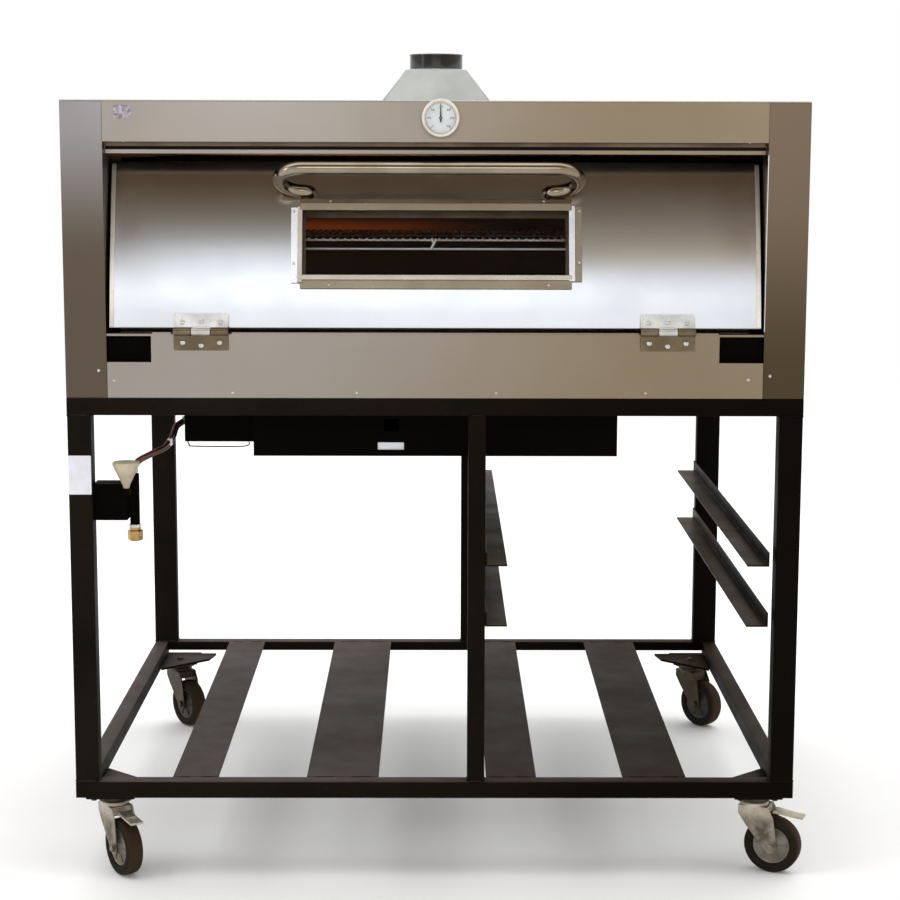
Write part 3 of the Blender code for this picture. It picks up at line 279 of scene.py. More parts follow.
# Painted light: the left column is a lit, cooler copy of the steel and the right a shaded, warmer copy, and
# each darkens lower down as painted reflection.
LIT_AND_SHADED_COLUMN_STEEL = {
    side: surface(
        f"column_steel_{side}", (high, tuple(0.93 * part for part in high)), (0.3, 0.4), 1.0, broad=2.2,
        fine=900, bump=0.02, grain=0.03, extra=painted_reflection_below(low, *span),
    )
    for side, low, high, span in (
        ("left", (0.1, 0.078, 0.056), (0.265, 0.25, 0.25), (1.08, 1.33)),
        ("right", (0.066, 0.048, 0.026), (0.15, 0.11, 0.075), (0.88, 1.2)),
    )
}
FASCIA_STEEL = surface(
    "fascia_steel", ((0.305, 0.272, 0.242), (0.28, 0.246, 0.214)), (0.32, 0.42), 1.0, broad=2.5, fine=800,
    bump=0.015, grain=0.025, extra=painted_warm_light_right,
)
CASING_STEEL = surface(
    "casing_steel", ((0.42, 0.395, 0.365), (0.38, 0.35, 0.32)), (0.32, 0.44), 1.0, broad=2.0, fine=240,
    stretch=(1, 1, 0.02), bump=0.03, grain=0.05,
)
DOOR_STEEL = surface(
    "door_steel", ((0.336, 0.341, 0.35), (0.312, 0.314, 0.32)), (0.15, 0.23), 1.0, broad=2.6, fine=900,
    bump=0.02, grain=0.03, extra=heat_stain_and_shade,
)
HEM_STEEL = surface(
    "hem_steel", ((0.5, 0.465, 0.42), (0.43, 0.385, 0.33)), (0.28, 0.4), 1.0, broad=9, fine=700,
    bump=0.03, wear=((0.3, 0.115, 0.045), 0.85),
)
# Painted light: the darker, lighter and bright steels next to this trim steel are its shaded and lit copies,
# for painted shade and painted highlights on the window strips, the lintel and the jamb's edge.
TRIM_STEEL = surface("trim_steel", ((0.265, 0.222, 0.16), (0.222, 0.18, 0.122)), (0.26, 0.36), 1.0, 10, 800)
TRIM_LIT = surface(
    "trim_lit", ((0.5, 0.46, 0.41), (0.4, 0.36, 0.3)), (0.24, 0.34), 1.0, 12, 800, bump=0.02
)
TRIM_SHADED = surface("trim_shaded", ((0.125, 0.09, 0.062), (0.085, 0.058, 0.038)), (0.28, 0.4), 1.0, 12, 800)
BRIGHT_LIT_STEEL = surface(
    "bright_steel", ((0.76, 0.77, 0.8), (0.68, 0.68, 0.7)), (0.2, 0.32), 1.0, broad=12, fine=500,
    bump=0.02, grain=0.03,
)
HANDLE_STEEL = surface(
    "handle_steel", ((0.285, 0.24, 0.178), (0.228, 0.184, 0.128)), (0.12, 0.2), 1.0, broad=14, fine=420,
    bump=0.02, grain=0.03,
)
RACK_WIRE = surface("rack_wire", ((0.3, 0.21, 0.13), (0.2, 0.135, 0.085)), (0.35, 0.5), 0.6, 20, 300)
RACK_STEEL = surface("rack_steel", ((0.92, 0.89, 0.84), (0.78, 0.73, 0.66)), (0.3, 0.45), 0.6, 20, 300)
SCREW_STEEL = surface("screw_steel", ((0.62, 0.62, 0.6), (0.5, 0.49, 0.47)), (0.22, 0.34), 1.0, 60, 900)
ZINC = surface(
    "zinc", ((0.52, 0.49, 0.42), (0.38, 0.34, 0.275)), (0.34, 0.52), 0.75, broad=22, fine=500, bump=0.08,
    wear=((0.1, 0.075, 0.05), 0.75),
)
FORK_STEEL = {
    end: surface(
        f"fork_steel_{end}", colours, (0.36, 0.52), 0.7, broad=22, fine=500, bump=0.08,
        wear=((0.06, 0.042, 0.026), 0.7), extra=fork_darker_low,
    )
    for end, colours in (
        ("front", ((0.5, 0.455, 0.375), (0.36, 0.31, 0.235))),
        ("rear", ((0.075, 0.06, 0.036), (0.026, 0.019, 0.011))),
    )
}
HINGE_STEEL = surface(
    "hinge_steel", ((0.55, 0.54, 0.51), (0.44, 0.42, 0.39)), (0.26, 0.4), 0.9, broad=30, fine=600,
    bump=0.05, wear=((0.2, 0.15, 0.1), 0.45),
)
HINGE_DARK = surface(
    "hinge_dark", ((0.17, 0.135, 0.085), (0.115, 0.087, 0.05)), (0.28, 0.42), 0.9, broad=30, fine=600,
    bump=0.05, wear=((0.14, 0.1, 0.06), 0.45),
)
GALVANISED = surface(
    "galvanised", ((0.43, 0.447, 0.432), (0.368, 0.38, 0.36)), (0.45, 0.6), 0.45, broad=9, fine=260,
    bump=0.04, extra=spangle,
)
ENAMEL = surface(
    "black_enamel", ((0.0052, 0.0038, 0.0024), (0.0085, 0.0062, 0.004)), (0.08, 0.14), fine=260, bump=0.02,
    Specular_IOR_Level=0.8,
)
TYRE = surface(
    "tyre", ((0.008, 0.0064, 0.005), (0.015, 0.0112, 0.0075)), (0.55, 0.75), broad=26, fine=500,
    bump=0.25, wear=((0.04, 0.027, 0.015), 0.8), extra=worn_tread, Specular_IOR_Level=0.08,
)
WHEEL_HUB = {
    end: surface(
        f"wheel_hub_{end}",
        colours,
        (0.4, 0.6),
        broad=30,
        fine=500,
        bump=0.1,
        wear=((0.05, 0.037, 0.024), 0.75),
    )
    for end, colours in (
        ("front", ((0.19, 0.172, 0.142), (0.115, 0.098, 0.074))),
        ("rear", ((0.03, 0.024, 0.017), (0.012, 0.009, 0.006))),
    )
}
CREAM = surface(
    "cream_plastic", ((0.49, 0.44, 0.31), (0.37, 0.32, 0.21)), (0.32, 0.48), broad=30, fine=500, bump=0.05,
    wear=((0.18, 0.13, 0.08), 0.5),
)
DIAL_RIM = surface(
    "dial_rim", ((0.66, 0.63, 0.56), (0.55, 0.51, 0.43)), (0.28, 0.42), 0.25, 30, 400, bump=0.03
)
DIAL_FACE = surface(
    "dial_face", ((0.66, 0.7, 0.71), (0.58, 0.61, 0.61)), (0.4, 0.55), 0.0, 40, 700, bump=0.02
)
INK = surface("dial_ink", ((0.012, 0.012, 0.012), (0.024, 0.022, 0.02)), (0.45, 0.6), 0.0, 60, 700)
BRASS = surface("brass", ((0.46, 0.29, 0.105), (0.34, 0.21, 0.085)), (0.24, 0.38), 1.0, 40, 600, bump=0.05)
COPPER = surface(
    "copper", ((0.28, 0.13, 0.085), (0.13, 0.06, 0.04)), (0.28, 0.45), 1.0, broad=28, fine=500, bump=0.05,
    wear=((0.07, 0.03, 0.02), 0.6),
)
TAPE = surface("thread_tape", ((0.72, 0.71, 0.68), (0.62, 0.6, 0.56)), (0.55, 0.7), 0.0, 60, 800, bump=0.3)
REFRACTORY = surface(
    "refractory", ((0.42, 0.33, 0.24), (0.28, 0.205, 0.14)), (0.8, 0.95), broad=14, fine=260, bump=0.6,
    grain=0.12, wear=((0.1, 0.065, 0.04), 0.8),
)
CHAMBER = surface(
    "chamber_steel", ((0.46, 0.14, 0.026), (0.34, 0.095, 0.016)), (0.6, 0.8), 0.2, broad=5, fine=200,
    bump=0.05, extra=liner_painted_shade, Specular_IOR_Level=0.05,
)
DOOR_LINING = surface(
    "door_lining", ((0.175, 0.128, 0.085), (0.085, 0.056, 0.034)), (0.36, 0.55), 0.8, broad=7, fine=400,
    bump=0.04, wear=((0.03, 0.02, 0.012), 0.7),
)
LABEL = surface("blank_label", ((0.72, 0.73, 0.79), (0.64, 0.64, 0.68)), (0.45, 0.6), 0.0, 30, 400, bump=0.02)
BADGE = surface(
    "badge_plate", ((0.4, 0.37, 0.42), (0.16, 0.13, 0.15)), (0.3, 0.45), 0.8, broad=150, fine=700,
    bump=0.05, grain=0.06,
)
# Thin heat-proof glass, clear but faintly brown.
GLASS = surface(
    "oven_glass", ((0.06, 0.035, 0.02), (0.045, 0.025, 0.012)), (0.03, 0.08), broad=8, fine=60, bump=0.0,
    Alpha=0.045,
)


# Mesh helpers


def put(name, data, matrix=None):
    """A new object in the scene."""
    made = bpy.data.objects.new(name, data)
    bpy.context.scene.collection.objects.link(made)
    if matrix is not None:
        made.matrix_world = matrix
    return made


def finish_piece(
    name, shape, material, body, replaces=(), matrix=None, bevel=0.0, angle=35, segments=2
):
    """Makes a piece of a bmesh, rounds its edges, and puts it on its body."""
    bmesh.ops.recalc_face_normals(shape, faces=shape.faces)
    mesh = bpy.data.meshes.new(name)
    shape.to_mesh(mesh)
    shape.free()
    mesh.shade_smooth()
    mesh.set_sharp_from_angle(angle=math.radians(angle))
    for one in material if isinstance(material, tuple) else [material]:
        mesh.materials.append(one)
    made = put(name, mesh, matrix)
    if bevel:
        round_edges(made, bevel, segments).miter_outer = "MITER_ARC"
    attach(made, body)
    if replaces:
        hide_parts(*replaces)
    return made


def round_edges(made, width, segments=2, angle=32):
    rounded = made.modifiers.new("edges", "BEVEL")
    rounded.width = width
    rounded.segments = segments
    rounded.limit_method = "ANGLE"
    rounded.angle_limit = math.radians(angle)
    rounded.harden_normals = True
    return rounded


def block(shape, low, high):
    low, high = Vector(low), Vector(high)
    size = high - low
    at = Matrix.Translation((low + high) / 2) @ Matrix.Diagonal((*size, 1))
    return bmesh.ops.create_cube(shape, size=1, matrix=at)["verts"]


def rounded_outline(low, high, radius, steps=4):
    """Corners of a rectangle, each turned through an arc."""
    points = []
    for cx, cy, start in (
        (high[0] - radius, high[1] - radius, 0),
        (low[0] + radius, high[1] - radius, 90),
        (low[0] + radius, low[1] + radius, 180),
        (high[0] - radius, low[1] + radius, 270),
    ):
        for k in range(steps + 1):
            turn = math.radians(start + 90 * k / steps)
            points.append((cx + radius * math.cos(turn), cy + radius * math.sin(turn)))
    return points


def skin(shape, rings):
    """A closed surface over rings of points, each with as many points as the next."""
    for first, second in zip(rings, rings[1:]):
        for k in range(len(first)):
            n = (k + 1) % len(first)
            shape.faces.new((first[k], first[n], second[n], second[k]))
    shape.faces.new(rings[0])
    shape.faces.new(rings[-1])


def round_ring(shape, centre, side, up, radius, sides):
    turns = [2 * math.pi * k / sides for k in range(sides)]
    return [shape.verts.new(centre + radius * (math.cos(a) * side + math.sin(a) * up)) for a in turns]


def prism(shape, outline, axis, start, stop):
    """Extrudes an outline, given in the two other axes in X, Y, Z order."""
    index = "XYZ".index(axis)
    rings = []
    for along in (start, stop):
        points = [list(point) for point in outline]
        for point in points:
            point.insert(index, along)
        rings.append([shape.verts.new(point) for point in points])
    skin(shape, rings)


def square_tube(shape, low, high, axis):
    index = "XYZ".index(axis)
    others = [k for k in range(3) if k != index]
    outline = rounded_outline([low[k] for k in others], [high[k] for k in others], 0.003)
    prism(shape, outline, axis, low[index], high[index])


def lathe(shape, profile, sides, matrix=None, closed=False):
    """Turns a profile of (radius, height) points about +Z of matrix. A radius of 0 is a pole."""
    matrix = matrix or Matrix.Identity(4)
    rings = []
    for radius, height in profile:
        turns = [2 * math.pi * k / sides for k in range(sides if radius else 1)]
        points = [Vector((radius * math.cos(turn), radius * math.sin(turn), height)) for turn in turns]
        rings.append([shape.verts.new(matrix @ point) for point in points])
    pairs = list(zip(rings, rings[1:]))
    if closed:
        pairs.append((rings[-1], rings[0]))
    made = []
    for first, second in pairs:
        for k in range(sides):
            n = (k + 1) % sides
            if len(first) == 1:
                made.append(shape.faces.new((first[0], second[k], second[n])))
            elif len(second) == 1:
                made.append(shape.faces.new((first[k], first[n], second[0])))
            else:
                made.append(shape.faces.new((first[k], first[n], second[n], second[k])))
    return made


def facing(at, direction):
    """A matrix at a point whose +Z points along direction."""
    turn = Vector(direction).to_track_quat("Z", "Y").to_matrix().to_4x4()
    return Matrix.Translation(at) @ turn


def sweep(shape, path, radius, sides):
    """A round bar along a path."""
    points = [Vector(p) for p in path]
    last = len(points) - 1
    tangents = [(points[min(i + 1, last)] - points[max(i - 1, 0)]).normalized() for i in range(last + 1)]
    side = tangents[0].orthogonal().normalized()
    rings = []
    for point, tangent in zip(points, tangents):
        side = (side - tangent * side.dot(tangent)).normalized()
        rings.append(round_ring(shape, point, side, tangent.cross(side), radius, sides))
    skin(shape, rings)


def arc(centre, radius, start, stop, steps):
    turns = [math.radians(start + (stop - start) * k / steps) for k in range(steps + 1)]
    return [(centre[0] + radius * math.cos(a), centre[1] + radius * math.sin(a)) for a in turns]


def smooth_path(points, steps):
    """A curve through the points, as a Catmull-Rom spline."""
    points = [Vector(p) for p in points]
    path = []
    for i in range(len(points) - 1):
        before = points[max(i - 1, 0)]
        after = points[min(i + 2, len(points) - 1)]
        a, b = points[i], points[i + 1]
        for k in range(steps):
            t = k / steps
            bow = (b - before) * t + (2 * before - 5 * a + 4 * b - after) * t**2
            path.append(a + 0.5 * (bow + (3 * a - before - 3 * b + after) * t**3))
    return path + [points[-1]]


def pan_head(shape, at, direction, radius, height=None):
    """A domed screw head with a sunk middle."""
    height = height or radius * 0.55
    matrix = facing(at, direction)
    profile = [(radius, 0)]
    profile += [(radius * math.cos(a), height * math.sin(a)) for a in (0.35, 0.75, 1.15)]
    profile += [(radius * 0.3, height * 0.98), (radius * 0.22, height * 0.55), (0, height * 0.5)]
    lathe(shape, profile, 14, matrix)


def hex_head(shape, at, direction, radius, height, washer=0.0):
    matrix = facing(at, direction)
    if washer:
        ring = [(0, 0), (washer, 0), (washer, 0.0012), (radius * 0.9, 0.0014), (0, 0.0014)]
        lathe(shape, ring, 20, matrix)
    head = [(0, 0.0005), (radius, 0.0005), (radius, height * 0.85), (radius * 0.86, height), (0, height)]
    lathe(shape, head, 6, matrix)


def weld_bead(shape, start, stop, radius):
    """A row of overlapping ripples along a seam."""
    start, stop = Vector(start), Vector(stop)
    along = (stop - start).normalized()
    side = along.orthogonal().normalized()
    last = 2 * max(4, int((stop - start).length / WELD_RIPPLE))
    rings = []
    for k in range(last + 1):
        swell = radius * (1.0 if k % 2 else 0.72) * (0.35 if k in (0, last) else 1.0)
        rings.append(round_ring(shape, start.lerp(stop, k / last), side, along.cross(side), swell, 8))
    skin(shape, rings)


# Camera, light and floor

CAMERA_AT = (0.0035, -3.457, 1.274)
CAMERA_PITCH = -8.46
CAMERA_YAW = -0.355
CAMERA_ROLL = 0.15
CAMERA_LENS = 82.2
SENSOR = 36.0


def camera():
    data = bpy.data.cameras.new("camera")
    data.lens = CAMERA_LENS
    data.sensor_width = SENSOR
    turn = Matrix.Rotation(math.radians(CAMERA_YAW), 4, "Z")
    turn @= Matrix.Rotation(math.radians(90 + CAMERA_PITCH), 4, "X")
    turn @= Matrix.Rotation(math.radians(CAMERA_ROLL), 4, "Z")
    bpy.context.scene.camera = put("camera", data, Matrix.Translation(place(*CAMERA_AT)) @ turn)


def softbox(name, at, target, size, radiance, colour=(1, 1, 1), shape="RECTANGLE"):
    """A soft rectangular lamp, whose strength is given as radiance."""
    data = bpy.data.lights.new(name, "AREA")
    data.shape = shape
    data.size, data.size_y = size
    data.energy = radiance * math.pi * size[0] * size[1]
    data.color = colour
    aim = (place(*target) - place(*at)).to_track_quat("-Z", "Y").to_matrix().to_4x4()
    put(name, data, Matrix.Translation(place(*at)) @ aim).visible_camera = False


def studio():
    world = bpy.data.worlds.new("studio")
    bpy.context.scene.world = world
    world.use_nodes = True
    tree = world.node_tree
    y, z = [object_axis(tree, axis, "Generated") for axis in "YZ"]
    share = times(tree, ramp(tree, z, 0.3, 0.6), ramp(tree, y, -0.15, -0.55))
    colour = mixed(tree, share, (1.0, 1.0, 1.0), (0.15, 0.1, 0.05))
    tree.links.new(colour, tree.nodes["Background"].inputs["Color"])
    cool = (0.955, 0.98, 1.0)
    softbox("front_softbox", (0, -5.6, 2.75), (0, 0, 1.05), (4.7, 0.66), 2.85, (0.895, 0.94, 1.0))
    softbox("lower_softbox", (0, -5.6, 1.95), (0, 0, 1.05), (4.1, 0.9), 1.26, cool)
    softbox("side_softbox", (-0.75, -5.6, 3.35), (0, 0, 1.05), (1.5, 0.6), 1.3, cool, "ELLIPSE")
    softbox("left_softbox", (-5.2, -2.2, 2.2), (0, 0.5, 1.4), (0.8, 2.2), 5.0)
    softbox("overhead_softbox", (0, 3.0, 6.0), (0, 3.0, 0), (13.0, 13.0), 1.1)
    # A weak warm lamp under the chamber's roof, so that its back wall shows through the window.
    softbox("oven_lamp", (-0.25, 0.6, 1.225), (-0.27, 0.985, 1.115), (0.5, 0.1), 3.947, (1.0, 0.55, 0.25))
    settings = bpy.context.scene.view_settings
    settings.view_transform = "Standard"
    settings.look = "None"


def floor():
    """A pale studio floor that fades into the backdrop."""
    shape = bmesh.new()
    bmesh.ops.create_circle(shape, cap_ends=True, segments=96, radius=10.0)
    mesh = bpy.data.meshes.new("floor")
    shape.to_mesh(mesh)
    shape.free()
    made = put("floor", mesh)
    paint = bpy.data.materials.new("floor")
    paint.use_nodes = True
    tree = paint.node_tree
    shader = tree.nodes["Principled BSDF"]
    shader.inputs["Roughness"].default_value = 0.85
    shader.inputs["Specular IOR Level"].default_value = 0.2
    speck = ramp(tree, noise(tree, 1.2, 4.0), 0.3, 0.7)
    tree.links.new(mixed(tree, speck, (0.9, 0.9, 0.895), (0.93, 0.93, 0.925)), shader.inputs["Base Color"])
    coords = add(tree, "ShaderNodeTexCoord").outputs["Object"]
    reach = add(tree, "ShaderNodeVectorMath", {"operation": "LENGTH"}, i0=coords).outputs["Value"]
    clear = add(tree, "ShaderNodeBsdfTransparent").outputs[0]
    share = ramp(tree, reach, 2.8, 9.0)
    mix = add(tree, "ShaderNodeMixShader", i0=share, i1=shader.outputs[0], i2=clear)
    tree.links.new(mix.outputs[0], tree.nodes["Material Output"].inputs["Surface"])
    mesh.materials.append(paint)


# CAD nodes that stay


def keep(node, material, width=0.0, segments=2):
    """Gives a CAD node its material, and rounded edges if width is given."""
    made = frame["nodes"][node]
    made.data.materials.clear()
    made.data.materials.append(material)
    if not width:
        return
    if "custom_normal" in made.data.attributes:
        made.data.attributes.remove(made.data.attributes["custom_normal"])
    made.data.shade_smooth()
    weld = made.modifiers.new("weld", "WELD")
    weld.merge_threshold = 0.00001
    flat = made.modifiers.new("flat", "DECIMATE")
    flat.decimate_type = "DISSOLVE"
    flat.angle_limit = math.radians(0.5)
    round_edges(made, width, segments).miter_outer = "MITER_ARC"


def kept_nodes():
    for side in ("left", "right"):
        keep(f"side_panel_{side}", LIT_AND_SHADED_COLUMN_STEEL[side], 0.0007)
    keep("rear_panel", CASING_STEEL, 0.0006)
    keep("top_panel", CASING_STEEL, 0.0006)
    keep("top_fascia", FASCIA_STEEL, 0.0006)
    keep("lower_fascia", FASCIA_STEEL, 0.0006)
    keep("base_panel", GALVANISED)
    keep("chamber_liner", CHAMBER)
    keep("hearth_stone", REFRACTORY, 0.003)
    keep("door_inner_panel", DOOR_LINING)
    keep("burner_box", SHEET_BLACK, 0.0008)
    keep("gas_valve_body", SHEET_BLACK, 0.001)
    keep("flue_hood", GALVANISED, 0.0016, 3)
    keep("window_glass", GLASS)
    keep("thermometer_needle", INK)
    for side in ("left", "right"):
        for level in ("lower", "upper"):
            keep(f"tray_runner_{side}_{level}", RUNNER_PAINT, 0.0008)
    for number in range(1, 5):
        keep(f"shelf_slat_{number}", BLACK_PAINT, 0.0009)


# Stand


def rail_frame(node, rear_height):
    """Four welded tubes with rounded corners and a bead at each joint."""
    low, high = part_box(node)
    rail = high.z - low.z
    shape = bmesh.new()
    rear_low = high.z - rear_height
    square_tube(shape, (low.x, low.y, low.z), (high.x, low.y + rail, high.z), "X")
    square_tube(shape, (low.x, high.y - rail, rear_low), (high.x, high.y, high.z), "X")
    for left in (low.x, high.x - rail):
        square_tube(shape, (left, low.y + rail, low.z), (left + rail, high.y - rail, high.z), "Y")
    for x, y in ((low.x + rail, low.y + rail), (high.x - rail, low.y + rail)):
        weld_bead(shape, (x, y, low.z + 0.003), (x, y, high.z - 0.003), 0.0018)
    for x in (low.x, high.x - rail):
        for y in (low.y + rail, high.y - rail):
            weld_bead(shape, (x + 0.003, y, high.z), (x + rail - 0.003, y, high.z), 0.0015)
    finish_piece(f"{node}_rails", shape, BLACK_PAINT, ROOT, [node])


def stand():
    rail_frame("stand_top_frame", 0.03)
    rail_frame("stand_bottom_frame", 0.02)
    for node in sorted(frame["nodes"]):
        if not node.startswith(("stand_leg", "stand_centre_post")):
            continue
        low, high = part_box(node)
        shape = bmesh.new()
        square_tube(shape, low, high, "Z")
        inset = 0.004
        for z in (low.z, high.z):
            for y in (low.y, high.y):
                weld_bead(shape, (low.x + inset, y, z), (high.x - inset, y, z), 0.0016)
            for x in (low.x, high.x):
                weld_bead(shape, (x, low.y + inset, z), (x, high.y - inset, z), 0.0016)
        finish_piece(f"{node}_tube", shape, BLACK_PAINT, ROOT, [node])
    slat_welds()
    blank_label()


def slat_welds():
    shape = bmesh.new()
    for number in range(1, 5):
        low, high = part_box(f"shelf_slat_{number}")
        for y in (low.y, high.y):
            for start, stop in ((0.12, 0.38), (0.62, 0.88)):
                width = high.x - low.x
                ends = [(low.x + width * s, y, high.z - 0.0004) for s in (start, stop)]
                weld_bead(shape, *ends, 0.0016)
    finish_piece("slat_welds", shape, BLACK_PAINT, ROOT)


def blank_label():
    """On the left leg, where the photo has a printed sticker."""
    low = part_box("stand_leg_front_left")[0]
    shape = bmesh.new()
    outline = rounded_outline((low.x + 0.0006, 0.682), (low.x + 0.0394, 0.749), 0.0015)
    prism(shape, outline, "Y", low.y - 0.0004, low.y + 0.0002)
    finish_piece("blank_label", shape, LABEL, ROOT)


# Casters

FORK_CROWN = ((0.03, 0.12), (-0.024, 0.12), (-0.024, 0.105), (-0.01, 0.085))
FORK_GAP = 0.036
FORK_PLATE = 0.003
TRAIL = 0.035
CROWN_TOP = 0.1205
SWIVEL_TOP = 0.1267


def corner_matrix(corner):
    """The swivel's place, turned the way the caster points."""
    pivot = Vector(JOINTS[f"swivel_{corner}"]["pos_m"])
    axle = JOINTS[f"wheel_spin_{corner}"]["axis"]
    yaw = math.atan2(-axle[0], axle[1])
    return Matrix.Translation((pivot.x, pivot.y, 0)) @ Matrix.Rotation(yaw, 4, "Z")


def fork(corner, matrix):
    half = FORK_GAP / 2
    outer = half + FORK_PLATE
    outline = [*FORK_CROWN, *arc((TRAIL, WHEEL_RADIUS), 0.013, 200, 380, 10), (0.04, 0.1)]
    shape = bmesh.new()
    for near, far in ((-outer, -half), (half, outer)):
        prism(shape, outline, "Y", near, far)
    crown = rounded_outline((-0.0235, -outer), (0.0295, outer), 0.004)
    prism(shape, crown, "Z", CROWN_TOP - FORK_PLATE, CROWN_TOP)
    for back, front, foot in ((0.0265, 0.0295, 0.1045), (-0.0235, -0.0205, 0.101)):
        block(shape, (back, -half, foot), (front, half, CROWN_TOP - FORK_PLATE))
    name = f"fork_{corner}"
    steel = FORK_STEEL[corner.split("_")[0]]
    replaced = [f"caster_fork_{corner}"]
    made = finish_piece(f"{name}_plate", shape, steel, name, replaced, matrix, 0.0011, segments=3)
    made.modifiers["edges"].angle_limit = math.radians(50)
    shape = bmesh.new()
    disc = [(0.0066, CROWN_TOP - 0.001), (0.0255, CROWN_TOP - 0.001), (0.0255, CROWN_TOP + 0.003)]
    disc += [(0.0235, SWIVEL_TOP - 0.0005), (0.0066, SWIVEL_TOP)]
    lathe(shape, disc, 32, closed=True)
    for side in (-1, 1):
        at = Vector((TRAIL, side * outer, WHEEL_RADIUS))
        hex_head(shape, at, (0, side, 0), 0.0066, 0.005, 0.0078)
    finish_piece(f"{name}_race", shape, steel, name, matrix=matrix, angle=40)


def turned_both_ways(shape, half, sides):
    """Turns a profile and its mirror image as one closed ring."""
    lathe(shape, half + [(radius, -height) for radius, height in reversed(half)], sides, closed=True)


def wheel(corner, matrix):
    """Tyre with a crowned tread, and a ribbed hub, turned about the axle."""
    name = f"wheel_{corner}"
    matrix = matrix @ Matrix.Translation((TRAIL, 0, WHEEL_RADIUS)) @ Matrix.Rotation(math.radians(90), 4, "X")
    r = WHEEL_RADIUS
    half = 0.015
    tread = [(0.0322, 0.01), (0.0335, 0.0128), (0.038, 0.0145), (r - 0.006, half), (r - 0.0025, 0.0138)]
    tread += [(r - 0.0008, 0.0112), (r - 0.0001, 0.008), (r, 0.004)]
    shape = bmesh.new()
    turned_both_ways(shape, tread, 72)
    finish_piece(f"{name}_tyre", shape, TYRE, name, [f"caster_{name}"], matrix, angle=60)
    shape = bmesh.new()
    hub = [(0.0052, 0.0168), (0.0105, 0.0168), (0.0118, 0.016), (0.0122, 0.012), (0.015, 0.0098)]
    hub += [(0.028, 0.009), (0.03, 0.0108), (0.0326, 0.0112), (0.0332, 0.0098)]
    turned_both_ways(shape, hub, 56)
    for k in range(6):
        turn = Matrix.Rotation(math.radians(60 * k), 4, "Z")
        for low, high in ((0.0085, 0.0112), (-0.0112, -0.0085)):
            verts = block(shape, (0.0118, -0.0011, low), (0.0292, 0.0011, high))
            bmesh.ops.transform(shape, matrix=turn, verts=verts)
    steel = WHEEL_HUB[corner.split("_")[0]]
    finish_piece(f"{name}_hub", shape, steel, name, matrix=matrix, angle=40)


def pedal(side, matrix):
    """A pressed brake lever with a ribbed tread."""
    outline = [(-0.004, -0.002), (0.008, -0.0025), (0.03, -0.0052), (0.05, -0.007)]
    outline += [(0.0503, -0.0045), (0.05, -0.003), (0.03, -0.0012), (0.012, 0.0018), (0.004, 0.0034)]
    outline += [(0.0, 0.004), (-0.0034, 0.0022)]
    at = matrix @ Matrix.Translation((0.04, 0, 0.1105))
    shape = bmesh.new()
    prism(shape, outline, "Y", -0.0118, 0.0118)
    for k in range(5):
        x = 0.024 + 0.005 * k
        z = 0.0002 - 0.0011 * k
        block(shape, (x, -0.0095, z - 0.0016), (x + 0.0022, 0.0095, z + 0.0004))
    name = f"pedal_{side}"
    material = ZINC if side == "left" else CREAM
    finish_piece(f"{name}_tread", shape, material, name, [f"brake_{name}"], at, 0.0006)


def top_plate(corner, matrix):
    """The fixed plate: a corner gusset, a pressed plate with four bolts, and the bearing race."""
    keep(f"caster_plate_{corner}", BLACK_PAINT, 0.0006)
    pivot = matrix.translation
    shape = bmesh.new()
    for dx in (-0.03, 0.03):
        for dy in (-0.036, 0.036):
            at = Vector((pivot.x + dx, pivot.y + dy, 0.1407))
            hex_head(shape, at, (0, 0, -1), 0.0058, 0.005, 0.0078)
    inward = Vector((-1 if pivot.x > 0 else 1, 1 if pivot.y < 0 else -1))
    x = pivot.x + inward.x * 0.005
    y = pivot.y + inward.y * 0.03
    hex_head(shape, (x, y, 0.1484), (0, 0, 1), 0.0062, 0.0048, 0.0085)
    race = [(0.0268, SWIVEL_TOP + 0.0008), (0.0296, 0.13), (0.0303, 0.1345)]
    race += [(0.0303, 0.14), (0.02, 0.1403)]
    lathe(shape, race, 40, Matrix.Translation((pivot.x, pivot.y, 0)))
    finish_piece(f"caster_bolts_{corner}", shape, FORK_STEEL["rear"], ROOT, angle=40)


def casters():
    for corner in CORNERS:
        matrix = corner_matrix(corner)
        top_plate(corner, matrix)
        fork(corner, matrix)
        wheel(corner, matrix)
        if corner.startswith("front"):
            pedal(corner.split("_")[1], matrix)


# Oven body

LINTEL_HALF = 0.554
LINTEL_BACK = 0.025
LINTEL_FOOT = 1.2578
LINTEL_GROOVE = (1.2646, 1.27)
TOP_FASCIA_BOTTOM = 1.2775
SHEET_SCREW = 0.0036
HOOD_TOP_HALF = 0.057


def badge():
    """A blank plate, where the photo has a small etched mark."""
    shape = bmesh.new()
    prism(shape, rounded_outline((-0.535, 1.315), (-0.506, 1.337), 0.002), "Y", -0.0007, 0.0002)
    finish_piece("badge_plate", shape, BADGE, ROOT, matrix=LAYOUT)


